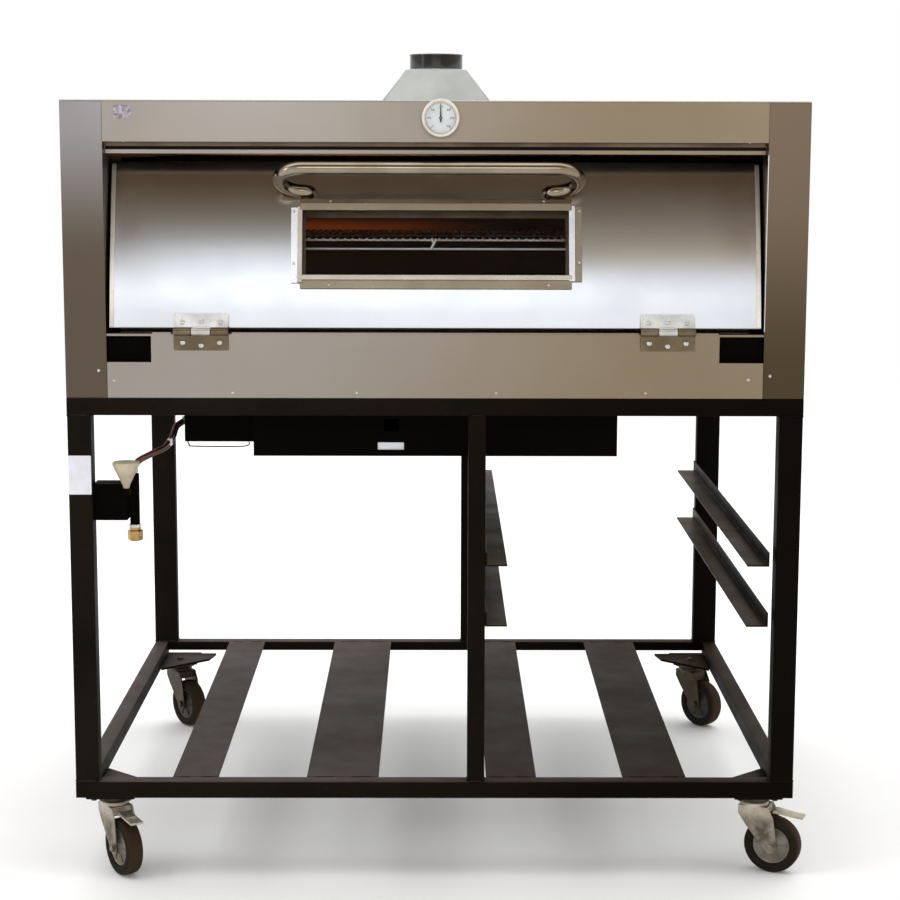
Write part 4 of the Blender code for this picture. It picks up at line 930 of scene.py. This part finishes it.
def casing_screws():
    """Screws in the fascias, under the lintel, and round the rear, top and side sheets."""
    shape = bmesh.new()
    front = (0, -1, 0)
    for x, z in ((-0.569, 0.8945), (-0.543, 0.8775), (0.53, 0.8805), (0.5665, 0.887)):
        pan_head(shape, (x, 0, z), front, 0.0028)
    for x in (-0.343, -0.133, 0.103, 0.356):
        pan_head(shape, (x, 0, 0.8575), front, 0.0024)
    for x in (-0.521, 0.524):
        pan_head(shape, (x, 0.01, TOP_FASCIA_BOTTOM), (0, 0, -1), 0.0026)
    for k in range(7):
        z = 0.875 + k * (OVEN_TOP - 0.9) / 6
        for x in (-HALF + 0.014, HALF - 0.014):
            pan_head(shape, (x, DEPTH, z), (0, 1, 0), SHEET_SCREW)
        for side in (-1, 1):
            pan_head(shape, (side * HALF, DEPTH - 0.02, z), (side, 0, 0), SHEET_SCREW)
    for k in range(6):
        x = -HALF + 0.06 + k * (2 * HALF - 0.12) / 5
        for z in (0.862, OVEN_TOP - 0.014):
            pan_head(shape, (x, DEPTH, z), (0, 1, 0), SHEET_SCREW)
        pan_head(shape, (x, DEPTH - 0.02, OVEN_TOP), (0, 0, 1), SHEET_SCREW)
    for k in range(5):
        y = 0.11 + k * (DEPTH - 0.22) / 4
        for x in (-HALF + 0.016, HALF - 0.016):
            pan_head(shape, (x, y, OVEN_TOP), (0, 0, 1), SHEET_SCREW)
        for side in (-1, 1):
            for z in (0.864, OVEN_TOP - 0.016):
                pan_head(shape, (side * HALF, y, z), (side, 0, 0), SHEET_SCREW)
    finish_piece("casing_screws", shape, SCREW_STEEL, ROOT, matrix=LAYOUT, angle=50)


def painted_recess_shade():
    """Painted shade: black sheets for the dark openings in the upper outer corners of the lower fascia."""
    shape = bmesh.new()
    for side in (-1, 1):
        xs = sorted((side * 0.4825, side * 0.554))
        block(shape, (xs[0], 0.01, 0.9085), (xs[1], 0.012, 0.9545))
    finish_piece("fascia_recesses", shape, SHEET_BLACK, ROOT, matrix=LAYOUT, bevel=0.0004)


def lintel():
    """The folded strips round the door opening, with a black strip painted as the shadow in the groove over
    the door, and a dark fold above it in painted shade.
    """
    shape = bmesh.new()
    for x0, x1 in ((-0.478, -0.446), (-0.344, 0.344), (0.44, 0.478)):
        block(shape, (x0, 0.0006, 0.956), (x1, 0.004, 0.9595))
    block(shape, (-LINTEL_HALF, 0.0214, LINTEL_FOOT), (LINTEL_HALF, LINTEL_BACK, LINTEL_GROOVE[0]))
    finish_piece("folded_lips", shape, FASCIA_STEEL, ROOT, matrix=LAYOUT, bevel=0.0005)
    shape = bmesh.new()
    # Painted shadow: a black strip in the groove.
    block(shape, (-LINTEL_HALF, 0.0238, LINTEL_GROOVE[0]), (LINTEL_HALF, LINTEL_BACK, LINTEL_GROOVE[1]))
    finish_piece("lintel_groove", shape, SHADOW_BLACK, ROOT, matrix=LAYOUT)
    shape = bmesh.new()
    # Painted shade: the fold above the groove, in a shaded copy of the trim steel.
    top = TOP_FASCIA_BOTTOM - 0.0008
    block(shape, (-LINTEL_HALF, 0.0228, LINTEL_GROOVE[1]), (LINTEL_HALF, LINTEL_BACK, top))
    finish_piece("lintel_shaded_fold", shape, TRIM_SHADED, ROOT, matrix=LAYOUT, bevel=0.0004)
    shape = bmesh.new()
    # Painted highlight: a strip of bright steel on the jamb's edge.
    block(shape, (0.5545, -0.0004, 0.962), (0.5556, 0.012, 1.257))
    finish_piece("jamb_edge_highlight", shape, BRIGHT_LIT_STEEL, ROOT, matrix=LAYOUT)


def flue():
    """Round collar with a rolled rim, and the flange, seam and rivets of the hood."""
    low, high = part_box("flue_collar")
    centre = (low + high) / 2
    at = Matrix.Translation((centre.x, centre.y, 0))
    r = (high.x - low.x) / 2
    profile = [(r - 0.0026, low.z), (r - 0.0002, low.z), (r, low.z + 0.002), (r, high.z - 0.004)]
    profile += [(r + 0.0006, high.z - 0.0028), (r + 0.0004, high.z - 0.0008), (r - 0.0012, high.z)]
    profile += [(r - 0.0028, high.z - 0.0008), (r - 0.0034, high.z - 0.004)]
    shape = bmesh.new()
    lathe(shape, profile, 96, at, closed=True)
    finish_piece("flue_collar_ring", shape, ENAMEL, ROOT, ["flue_collar"], angle=50)
    hood_low, hood_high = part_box("flue_hood")
    shape = bmesh.new()
    for side in (-1, 1):
        for k in range(3):
            off = 0.07 * (k - 1)
            for dx, dy, nx, ny in ((off, side * 0.1, 0, side), (side * 0.1, off, side, 0)):
                at_base = Vector((centre.x + dx, centre.y + dy, hood_low.z + 0.0075))
                pan_head(shape, at_base, (nx * 0.84, ny * 0.84, 0.54), 0.0026)
    finish_piece("hood_rivets", shape, SCREW_STEEL, ROOT, angle=50)
    shape = bmesh.new()
    out = 0.0012
    base_half = (hood_high.x - hood_low.x) / 2 - 0.0006
    top_half = HOOD_TOP_HALF - out
    for sx, sy in ((-1, -1), (1, -1), (1, 1), (-1, 1)):
        start = Vector((centre.x + sx * base_half, centre.y + sy * base_half, hood_low.z + 0.001))
        stop = Vector((centre.x + sx * top_half, centre.y + sy * top_half, hood_high.z - 0.001))
        sweep(shape, [start, start.lerp(stop, 0.5), stop], 0.0013, 8)
    collar_foot = [(r + 0.0003, low.z - 0.0004), (r + 0.006, low.z - 0.0004), (r + 0.0052, low.z + 0.0008)]
    collar_foot += [(r + 0.0012, low.z + 0.0022), (r + 0.0003, low.z + 0.0022)]
    lathe(shape, collar_foot, 72, at, closed=True)
    finish_piece("hood_seams", shape, GALVANISED, ROOT, angle=50)


def numeral(shape, text, size, matrix):
    """Adds the flat mesh of a short text, centred on the matrix."""
    curve = bpy.data.curves.new("numeral", "FONT")
    curve.body = text
    curve.size = size
    curve.align_x = "CENTER"
    curve.align_y = "CENTER"
    helper = put("numeral", curve)
    mesh = bpy.data.meshes.new_from_object(helper.evaluated_get(bpy.context.evaluated_depsgraph_get()))
    verts = [shape.verts.new(matrix @ vert.co) for vert in mesh.vertices]
    for face in mesh.polygons:
        shape.faces.new([verts[index] for index in face.vertices])
    bpy.data.objects.remove(helper)
    bpy.data.meshes.remove(mesh)


DIAL_R = 0.0315
DIAL_SWEEP = 135
DIAL_STEPS = 30


def thermometer():
    """A deep rim and a printed dial with generic numbers."""
    low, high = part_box("thermometer_case")
    centre = Vector(((low.x + high.x) / 2, 0, (low.z + high.z) / 2))
    face = low.y
    at = facing(Vector((centre.x, face, centre.z)), (0, -1, 0)) @ Matrix.Rotation(math.pi, 4, "Z")
    up = at.inverted() @ (Vector((centre.x, face, centre.z + 1)))
    turn = math.atan2(up.x, up.y)
    at = at @ Matrix.Rotation(-turn, 4, "Z")
    r = DIAL_R
    shape = bmesh.new()
    rim = [(r - 0.006, -0.008), (r - 0.0056, -0.003), (r - 0.0046, -0.0008), (r - 0.0032, 0.0)]
    rim += [(r - 0.0014, -0.0002), (r - 0.0004, -0.0012), (r, -0.0032), (r - 0.0002, -0.007)]
    rim += [(r - 0.0016, -0.01), (r - 0.002, -0.0176), (r - 0.01, -0.0178), (r - 0.01, -0.0082)]
    lathe(shape, rim, 72, at, closed=True)
    stem = [(0, -0.0176), (0.004, -0.0176), (0.004, -0.08), (0.0034, -0.087), (0, -0.088)]
    lathe(shape, stem, 20, at)
    finish_piece("thermometer_rim", shape, DIAL_RIM, ROOT, ["thermometer_case"], angle=50)
    shape = bmesh.new()
    lathe(shape, [(0, -0.0084), (r - 0.0058, -0.0084), (r - 0.0058, -0.0081), (0, -0.0081)], 64, at)
    finish_piece("thermometer_dial", shape, DIAL_FACE, ROOT)
    marks = bmesh.new()
    for k in range(DIAL_STEPS + 1):
        angle = math.radians(-DIAL_SWEEP + 2 * DIAL_SWEEP * k / DIAL_STEPS)
        major = k % 5 == 0
        outer = r - 0.0068
        inner = outer - (0.0034 if major else 0.0019)
        wide = 0.00042 if major else 0.00022
        spun = at @ Matrix.Rotation(-angle, 4, "Z")
        verts = block(marks, (-wide, inner, -0.0081), (wide, outer, -0.00795))
        bmesh.ops.transform(marks, matrix=spun, verts=verts)
        if major:
            shift = spun @ Matrix.Translation((0, inner - 0.0026, -0.00795)) @ Matrix.Rotation(angle, 4, "Z")
            numeral(marks, str(k * 10), 0.0048, shift)
    ring = [(r - 0.0066, -0.0081), (r - 0.0063, -0.0081), (r - 0.0063, -0.0079), (r - 0.0066, -0.0079)]
    lathe(marks, ring, 64, at, closed=True)
    finish_piece("thermometer_marks", marks, INK, ROOT)


# Chamber


def rack():
    """Round wires, a front rod with a bead at every wire, and a second rod slung below it."""
    low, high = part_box("wire_rack")
    wire = 0.0015
    top = high.z - wire
    front = low.y + 0.003
    shape = bmesh.new()
    wires = bmesh.new()
    count = 84
    for k in range(count):
        x = low.x + 0.004 + k * (high.x - low.x - 0.008) / (count - 1)
        sweep(wires, [(x, low.y + 0.004, top), (x, high.y - 0.002, top)], wire, 6)
        bead = [(0, -0.003), (0.0022, -0.0018), (0.003, 0), (0.0022, 0.0018), (0, 0.003)]
        lathe(shape, bead, 10, facing((x, front - 0.0008, top - 0.0012), (0, -1, 0.4)))
    cross = top - 2 * wire + 0.0004
    sweep(shape, [(low.x + 0.001, front + 0.001, cross), (high.x - 0.001, front + 0.001, cross)], 0.0019, 8)
    for y in ((low.y + high.y) / 2, high.y - 0.008):
        sweep(wires, [(low.x + 0.001, y, cross), (high.x - 0.001, y, cross)], 0.0019, 8)
    for x in (low.x + 0.0025, high.x - 0.0025):
        sweep(wires, [(x, low.y + 0.002, top), (x, high.y - 0.002, top)], 0.0021, 8)
    finish_piece("rack_wires", wires, RACK_WIRE, ROOT, angle=60)
    rod = low.z + 0.002
    sweep(shape, [(low.x + 0.016, front, rod), (high.x - 0.016, front, rod)], 0.0021, 8)
    for x in (low.x + 0.02, high.x - 0.02):
        sweep(shape, [(x, front, rod), (x, front, top)], 0.0022, 8)
    middle = ORIGIN.x - 0.004
    near = front - 0.002
    sweep(shape, [(middle - 0.005, near, rod - 0.001), (middle + 0.005, near, top)], 0.0026, 8)
    sweep(shape, [(middle - 0.004, near, top), (middle - 0.0005, near, cross - 0.005)], 0.0022, 8)
    finish_piece("rack_front", shape, RACK_STEEL, ROOT, ["wire_rack"], angle=60)


BURNER_FRONT = 0.1


def burner():
    """The tube under the chamber, and on each side a row of black slabs painted as the shade in its flame
    ports.
    """
    low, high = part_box("burner_tube")
    level = (low.z + high.z) / 2
    radius = (high.z - low.z) / 2 - 0.0004
    near, far, bend = 0.24, 0.78, 0.06
    path = [(-0.41, near), (0, near), *arc((0.18, near + bend), bend, -90, 0, 10)]
    path += [*arc((0.18, far - bend), bend, 0, 90, 10), (-0.24, far)]
    shape = bmesh.new()
    sweep(shape, [place(x, y, level) for x, y in path], radius, 20)
    finish_piece("burner_pipe", shape, CHAMBER, ROOT, ["burner_tube"])
    shape = bmesh.new()
    # Painted shade: black slabs where the flame ports are.
    for k in range(28):
        x = -0.3 + k * 0.017
        for y in (near, far):
            if y == far and x < -0.22:
                continue
            top = level + radius + 0.0004
            block(shape, place(x, y - 0.0022, top - 0.0009), place(x + 0.006, y + 0.0022, top))
    finish_piece("burner_port_shade", shape, SHEET_BLACK, ROOT)


def burner_front():
    """The air shutter, the frame round the sight hole and the intake wire."""
    front = BURNER_FRONT
    shape = bmesh.new()
    block(shape, place(-0.105, front + 0.0024, 0.741), place(-0.051, front + 0.004, 0.762))
    finish_piece("air_shutter", shape, LABEL, ROOT, bevel=0.0004)
    shape = bmesh.new()
    left, right, bottom, top = -0.1035, -0.053, 0.77, 0.807
    hole = (-0.0905, -0.0635, 0.7775, 0.7995)
    for x0, x1, z0, z1 in (
        (left, hole[0], bottom, top),
        (hole[1], right, bottom, top),
        (hole[0], hole[1], bottom, hole[2]),
        (hole[0], hole[1], hole[3], top),
    ):
        block(shape, place(x0, front - 0.0012, z0), place(x1, front - 0.0001, z1))
    low_z, high_z = bottom + 0.004, top - 0.004
    for x, z in ((left + 0.005, low_z), (right - 0.005, low_z), (left + 0.005, high_z)):
        pan_head(shape, place(x, front - 0.0012, z), (0, -1, 0), 0.0018)
    finish_piece("sight_frame", shape, SHEET_BLACK, ROOT)
    shape = bmesh.new()
    y = 0.148
    path = [(-0.44, 0.756), (-0.436, 0.747), (-0.428, 0.744), (-0.34, 0.744), (-0.33, 0.752)]
    path = smooth_path([(x, y, z) for x, z in path], 4)
    sweep(shape, [place(*point) for point in path], 0.0011, 8)
    finish_piece("intake_wire", shape, BLACK_PAINT, ROOT, angle=50)


# Door

DOOR_HALF = 0.551
DOOR_Z = (0.008, 0.294)
DOOR_FACE = 0.0068
DOOR_BULGE = 0.006
BULGE_START = 0.034
BULGE_SLOPE = 4 * DOOR_BULGE / (DOOR_Z[1] - BULGE_START)
WINDOW_HALF = 0.225
WINDOW_Z = (0.0963, 0.2067)


def door_face(z):
    """How far in the door's face lies at a height: a shallow bulge with a straight foot."""
    if z <= BULGE_START:
        return DOOR_FACE + (BULGE_START - z) * BULGE_SLOPE
    middle = (BULGE_START + DOOR_Z[1]) / 2
    reach = (DOOR_Z[1] - BULGE_START) / 2
    return DOOR_FACE - DOOR_BULGE * (1 - ((z - middle) / reach) ** 2)


def door_skin():
    """The outer pan: one curved sheet with a window in it, folded back along its edges."""
    hole = WINDOW_HALF + 0.002
    hole_z = (WINDOW_Z[0] - 0.002, WINDOW_Z[1] + 0.002)
    xs = [-DOOR_HALF, -0.4, -hole - 0.004, -hole, 0.0, hole, hole + 0.004, 0.4, DOOR_HALF]
    zs = [DOOR_Z[0], BULGE_START * 0.6]
    zs += [BULGE_START + (hole_z[0] - BULGE_START) * k / 12 for k in range(13)]
    zs += [hole_z[0] + (hole_z[1] - hole_z[0]) * k / 16 for k in range(1, 17)]
    zs += [hole_z[1] + (DOOR_Z[1] - hole_z[1]) * k / 12 for k in range(1, 13)]
    back = DOOR_FACE + 0.018
    shape = bmesh.new()
    grid = [[shape.verts.new((x, door_face(z), z)) for z in zs] for x in xs]
    for i in range(len(xs) - 1):
        for j in range(len(zs) - 1):
            middle_x = (xs[i] + xs[i + 1]) / 2
            middle_z = (zs[j] + zs[j + 1]) / 2
            if abs(middle_x) < hole and hole_z[0] < middle_z < hole_z[1]:
                continue
            shape.faces.new((grid[i][j], grid[i + 1][j], grid[i + 1][j + 1], grid[i][j + 1]))
    rim = [edge for edge in shape.edges if edge.is_boundary and not in_window(edge, hole, hole_z)]
    folded = bmesh.ops.extrude_edge_only(shape, edges=rim)["geom"]
    for found in folded:
        if isinstance(found, bmesh.types.BMVert):
            found.co.y = back
    lost = [vert for vert in shape.verts if not vert.link_faces]
    bmesh.ops.delete(shape, geom=lost, context="VERTS")
    made = finish_piece("door_skin", shape, DOOR_STEEL, "door", ["door_outer_panel"], DOOR)
    round_edges(made, 0.0016, 3, 50)
    thick = made.modifiers.new("sheet", "SOLIDIFY")
    thick.thickness = 0.0012
    thick.offset = -1


def in_window(edge, hole, hole_z):
    middle = (edge.verts[0].co + edge.verts[1].co) / 2
    return abs(middle.x) < hole + 0.001 and hole_z[0] - 0.001 < middle.z < hole_z[1] + 0.001


def door_hems():
    """The bright folded strips down both ends of the door."""
    shape = bmesh.new()
    steps = 24
    for side in (-1, 1):
        x0, x1 = sorted((side * (DOOR_HALF - 0.001), side * (DOOR_HALF - 0.0085)))
        rows = []
        for k in range(steps + 1):
            z = DOOR_Z[0] + 0.002 + (DOOR_Z[1] - DOOR_Z[0] - 0.006) * k / steps
            face = door_face(z)
            corners = ((x0, face - 0.001), (x1, face - 0.001), (x1, face + 0.0004), (x0, face + 0.0004))
            rows.append([shape.verts.new((x, y, z)) for x, y in corners])
        skin(shape, rows)
    finish_piece("door_hems", shape, HEM_STEEL, "door", matrix=DOOR, bevel=0.0004)


def window_frame():
    """Four separate pressed strips round the glass, each a flat flange and a proud lip, in lit and shaded
    copies of one steel as painted highlights and painted shade.
    """
    inner = WINDOW_HALF
    low, high = WINDOW_Z
    face = -0.0105
    foot = -0.0024
    across = (-inner - 0.004, inner + 0.005)
    strips = {
        "top": (across, (high, high + 0.0125), (high + 0.011, high + 0.0215), TRIM_SHADED, TRIM_STEEL),
        "bottom": (across, (low - 0.0085, low), (low - 0.0225, low - 0.0075), TRIM_STEEL, TRIM_LIT),
        "left": (
            (low - 0.013, high + 0.0065),
            (-inner - 0.008, -inner),
            (-inner - 0.0195, -inner - 0.007),
            BRIGHT_LIT_STEEL,
            TRIM_LIT,
        ),
        "right": (
            (low - 0.01, high + 0.0085),
            (inner, inner + 0.01),
            (inner + 0.009, inner + 0.0225),
            TRIM_STEEL,
            BRIGHT_LIT_STEEL,
        ),
    }
    for name, (span, lip, flange, flange_steel, lip_steel) in strips.items():
        shape = bmesh.new()
        for index, (width, front, back) in enumerate(((flange, foot, -0.0006), (lip, face, -0.001))):
            if name in ("top", "bottom"):
                verts = block(shape, (span[0], front, width[0]), (span[1], back, width[1]))
            else:
                verts = block(shape, (width[0], front + 0.0006, span[0]), (width[1], back, span[1]))
            for vert in verts:
                for found in vert.link_faces:
                    found.material_index = index
        replaced = ["window_frame"] if name == "top" else []
        steels = (flange_steel, lip_steel)
        finish_piece(
            f"window_strip_{name}", shape, steels, "door", replaced, DOOR, 0.0011, segments=3
        )
    shape = bmesh.new()
    out = (0, -1, 0)
    spots = [(-0.178, high + 0.017), (0.183, high + 0.0175), (-0.18, low - 0.0155), (0.191, low - 0.0155)]
    spots += [(-inner - 0.015, high - 0.001), (-inner - 0.015, low + 0.02)]
    spots += [(inner + 0.0175, high + 0.001), (inner + 0.0175, low + 0.023)]
    for x, z in spots:
        pan_head(shape, (x, foot, z), out, 0.0024)
    finish_piece("window_screws", shape, SCREW_STEEL, "door", matrix=DOOR, angle=50)


HANDLE_X = -0.011
HANDLE_BAR = (-0.0875, 0.26)
HANDLE_FOOT = (-0.0085, 0.2395)
HANDLE_STRAIGHT = 0.21
HANDLE_RADIUS = 0.011


def handle():
    """A tube bar whose ends curl back through half a turn and dive into the door, each with a domed foot."""
    bar = Vector((0, *HANDLE_BAR))
    foot = Vector((0, *HANDLE_FOOT))
    bend = (bar - foot).length / 2
    middle = (bar + foot) / 2
    out = (bar - foot).normalized()

    def curl(sign):
        points = []
        for k in range(25):
            angle = math.pi * k / 24
            x = sign * (HANDLE_STRAIGHT + bend * math.sin(angle))
            points.append(middle + out * bend * math.cos(angle) + Vector((x, 0, 0)))
        for inward, sink in ((0.001, 0.001), (0.005, 0.0046), (0.008, 0.0105), (0.01, 0.017)):
            points.append(foot + Vector((sign * (HANDLE_STRAIGHT - inward), sink, 0)))
        return points

    straight = [bar + Vector((HANDLE_STRAIGHT * k / 6, 0, 0)) for k in range(-5, 6)]
    path = [*reversed(curl(-1)), *straight, *curl(1)]
    path = [point + Vector((HANDLE_X, 0, 0)) for point in path]
    shape = bmesh.new()
    sweep(shape, path, HANDLE_RADIUS, 28)
    finish_piece("handle_tube", shape, HANDLE_STEEL, "door", ["door_handle"], DOOR, angle=50)
    shape = bmesh.new()
    for sign in (-1, 1):
        z = HANDLE_FOOT[1]
        at = facing((HANDLE_X + sign * (HANDLE_STRAIGHT + 0.006), door_face(z), z), (0, -1, 0))
        lathe(shape, [(0, 0), (0.0105, 0), (0.0098, 0.003), (0.0078, 0.0048), (0, 0.005)], 28, at)
    finish_piece("handle_feet", shape, HANDLE_STEEL, "door", matrix=DOOR, angle=50)


LEAF_HALF = 0.0465
KNUCKLE_RADIUS = 0.0065
KNUCKLE_HALF = 0.0162
LEAF_END = 0.032


def leaf_plate(shape, low_z, high_z, near, far):
    outline = rounded_outline((-LEAF_HALF, low_z), (LEAF_HALF, high_z), 0.0025, 3)
    prism(shape, outline, "Y", near, far)


def barrel(shape, start, stop):
    radius = KNUCKLE_RADIUS
    soft = 0.0006
    profile = [(0, start), (radius - soft, start), (radius, start + soft), (radius, stop - soft)]
    profile += [(radius - soft, stop), (0, stop)]
    lathe(shape, profile, 32, Matrix.Rotation(math.radians(90), 4, "Y"))


def leaf_screws(name, body, y, spots, matrix):
    shape = bmesh.new()
    for x, z in spots:
        pan_head(shape, (x, y, z), (0, -1, 0), 0.0046, 0.0018)
    finish_piece(name, shape, SCREW_STEEL, body, matrix=matrix, angle=50)


def lower_leaf(side, matrix, back):
    """Two outer knuckles and a plate, screwed to the fascia."""
    shape = bmesh.new()
    for start, stop in ((-LEAF_HALF, -KNUCKLE_HALF - 0.0004), (KNUCKLE_HALF + 0.0004, LEAF_HALF)):
        barrel(shape, start, stop)
    front = back - 0.0018
    leaf_plate(shape, -LEAF_END, -0.004, front, back)
    for dx in (-1, 1):
        xs = sorted((dx * (KNUCKLE_HALF + 0.0006), dx * (LEAF_HALF - 0.0004)))
        block(shape, (xs[0], front, -0.005), (xs[1], back, 0.001))
    replaced = [f"hinge_lower_leaf_{side}"]
    finish_piece(f"hinge_leaf_low_{side}", shape, HINGE_DARK, ROOT, replaced, matrix, 0.0004)
    spots = ((-0.031, -0.0185), (0.0, -0.0235), (0.031, -0.0185))
    leaf_screws(f"hinge_screws_low_{side}", ROOT, back - 0.0017, spots, matrix)


def upper_leaf(side, matrix):
    """The middle knuckle and a plate, screwed to the door."""
    front, back = 0.0044, 0.0072
    shape = bmesh.new()
    barrel(shape, -KNUCKLE_HALF + 0.0002, KNUCKLE_HALF - 0.0002)
    leaf_plate(shape, 0.008, LEAF_END, front, back)
    block(shape, (-KNUCKLE_HALF + 0.0006, front, 0.001), (KNUCKLE_HALF - 0.0006, back, 0.01))
    replaced = [f"hinge_upper_leaf_{side}"]
    finish_piece(f"hinge_leaf_up_{side}", shape, HINGE_STEEL, "door", replaced, matrix, 0.0004)
    spots = ((-0.032, 0.0175), (0.0, 0.019), (0.032, 0.0175))
    leaf_screws(f"hinge_screws_up_{side}", "door", 0.0045, spots, matrix)


def hinges():
    """Butt hinges with round knuckles and three domed screws in each leaf."""
    hinge = Vector(JOINTS["door_hinge"]["pos_m"])
    for side in ("left", "right"):
        low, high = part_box(f"hinge_lower_leaf_{side}")
        x = (low.x + high.x) / 2
        lower_leaf(side, Matrix.Translation((x, hinge.y, hinge.z)), ORIGIN.y - hinge.y - 0.0003)
        upper_leaf(side, DOOR @ Matrix.Translation((x - hinge.x, 0, 0)))


# Gas train


def gas_train():
    low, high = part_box("gas_valve_knob")
    centre = (low + high) / 2
    shape = bmesh.new()
    knob = [(0, 0), (0.0042, 0), (0.0054, 0.0016), (0.0062, 0.006), (0.01, 0.0135), (0.0222, 0.0392)]
    knob += [(0.023, 0.042), (0.0229, 0.0446), (0.0215, 0.0458), (0.0195, 0.0456)]
    knob += [(0.0165, 0.0436), (0, 0.043)]
    lathe(shape, knob, 48, Matrix.Translation((centre.x, centre.y, low.z)))
    finish_piece("gas_knob_cone", shape, CREAM, "gas_knob", ["gas_valve_knob"], angle=50)
    nut_low, nut_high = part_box("gas_inlet_nut")
    at = (nut_low + nut_high) / 2
    shape = bmesh.new()
    spot = Matrix.Translation((at.x, at.y, 0))
    radius = 0.0134
    z0, z1 = nut_low.z, nut_high.z
    profile = [(0.007, z0 + 0.003), (0.0105, z0), (radius - 0.0018, z0), (radius, z0 + 0.002)]
    profile += [(radius, z1 - 0.006), (radius - 0.0016, z1 - 0.0048), (0.01, z1 - 0.0046)]
    profile += [(0.01, z1), (0.007, z1)]
    lathe(shape, profile, 6, spot, closed=True)
    lathe(shape, [(0, z0 + 0.004), (0.0072, z0 + 0.004), (0.0072, z1 - 0.001), (0, z1 - 0.001)], 24, spot)
    finish_piece("brass_nut", shape, BRASS, ROOT, ["gas_inlet_nut"], bevel=0.0004)
    shape = bmesh.new()
    tape = [(0.007, z1), (0.01, z1), (0.0104, z1 + 0.0012), (0.01, z1 + 0.0026), (0.0104, z1 + 0.004)]
    tape += [(0.0098, z1 + 0.005), (0.007, z1 + 0.005)]
    lathe(shape, tape, 32, spot, closed=True)
    finish_piece("thread_tape_ring", shape, TAPE, ROOT, angle=50)
    gas_tubes()


TUBE_BENDS = (
    (0.0, 0.0, 0.0),
    (0.0, 0.0, 0.01),
    (0.006, 0.006, 0.021),
    (0.026, 0.03, 0.03),
    (0.044, 0.07, 0.036),
    (0.052, 0.112, 0.05),
    (0.055, 0.142, 0.063),
)
PIPE_TOP = (-0.5185, 0.04, 0.7134)
TUBE_ENTRY = (-0.44, 0.205, 0.788)


def gas_tubes():
    """Two copper supply tubes, the clip that holds them and the flare nuts at their ends."""
    start = place(*PIPE_TOP)
    finish = place(*TUBE_ENTRY)
    bends = [start + Vector(bend) for bend in TUBE_BENDS]
    bends += [finish - Vector((0.006, 0.002, 0.002)), finish]
    path = smooth_path(bends, 8)
    aside = Vector((0.003, 0.01, -0.004))
    shape = bmesh.new()
    sweep(shape, path, 0.004, 16)
    sweep(shape, [point + aside for point in path[10:-10]], 0.0028, 14)
    finish_piece("copper_tubes", shape, COPPER, ROOT, ["gas_tubes"])
    shape = bmesh.new()
    clip = path[36] + aside / 2
    block(shape, clip - Vector((0.0035, 0.011, 0.0065)), clip + Vector((0.0035, 0.011, 0.0065)))
    for end, inward in ((path[0], path[3] - path[0]), (path[-12], path[-1] - path[-12])):
        hex_head(shape, end, inward, 0.0072, 0.01)
    finish_piece("tube_fittings", shape, HINGE_STEEL, ROOT, bevel=0.0005)


camera()
studio()
floor()
kept_nodes()
stand()
casters()
badge()
casing_screws()
painted_recess_shade()
lintel()
flue()
thermometer()
rack()
burner()
burner_front()
door_skin()
door_hems()
window_frame()
handle()
hinges()
gas_train()
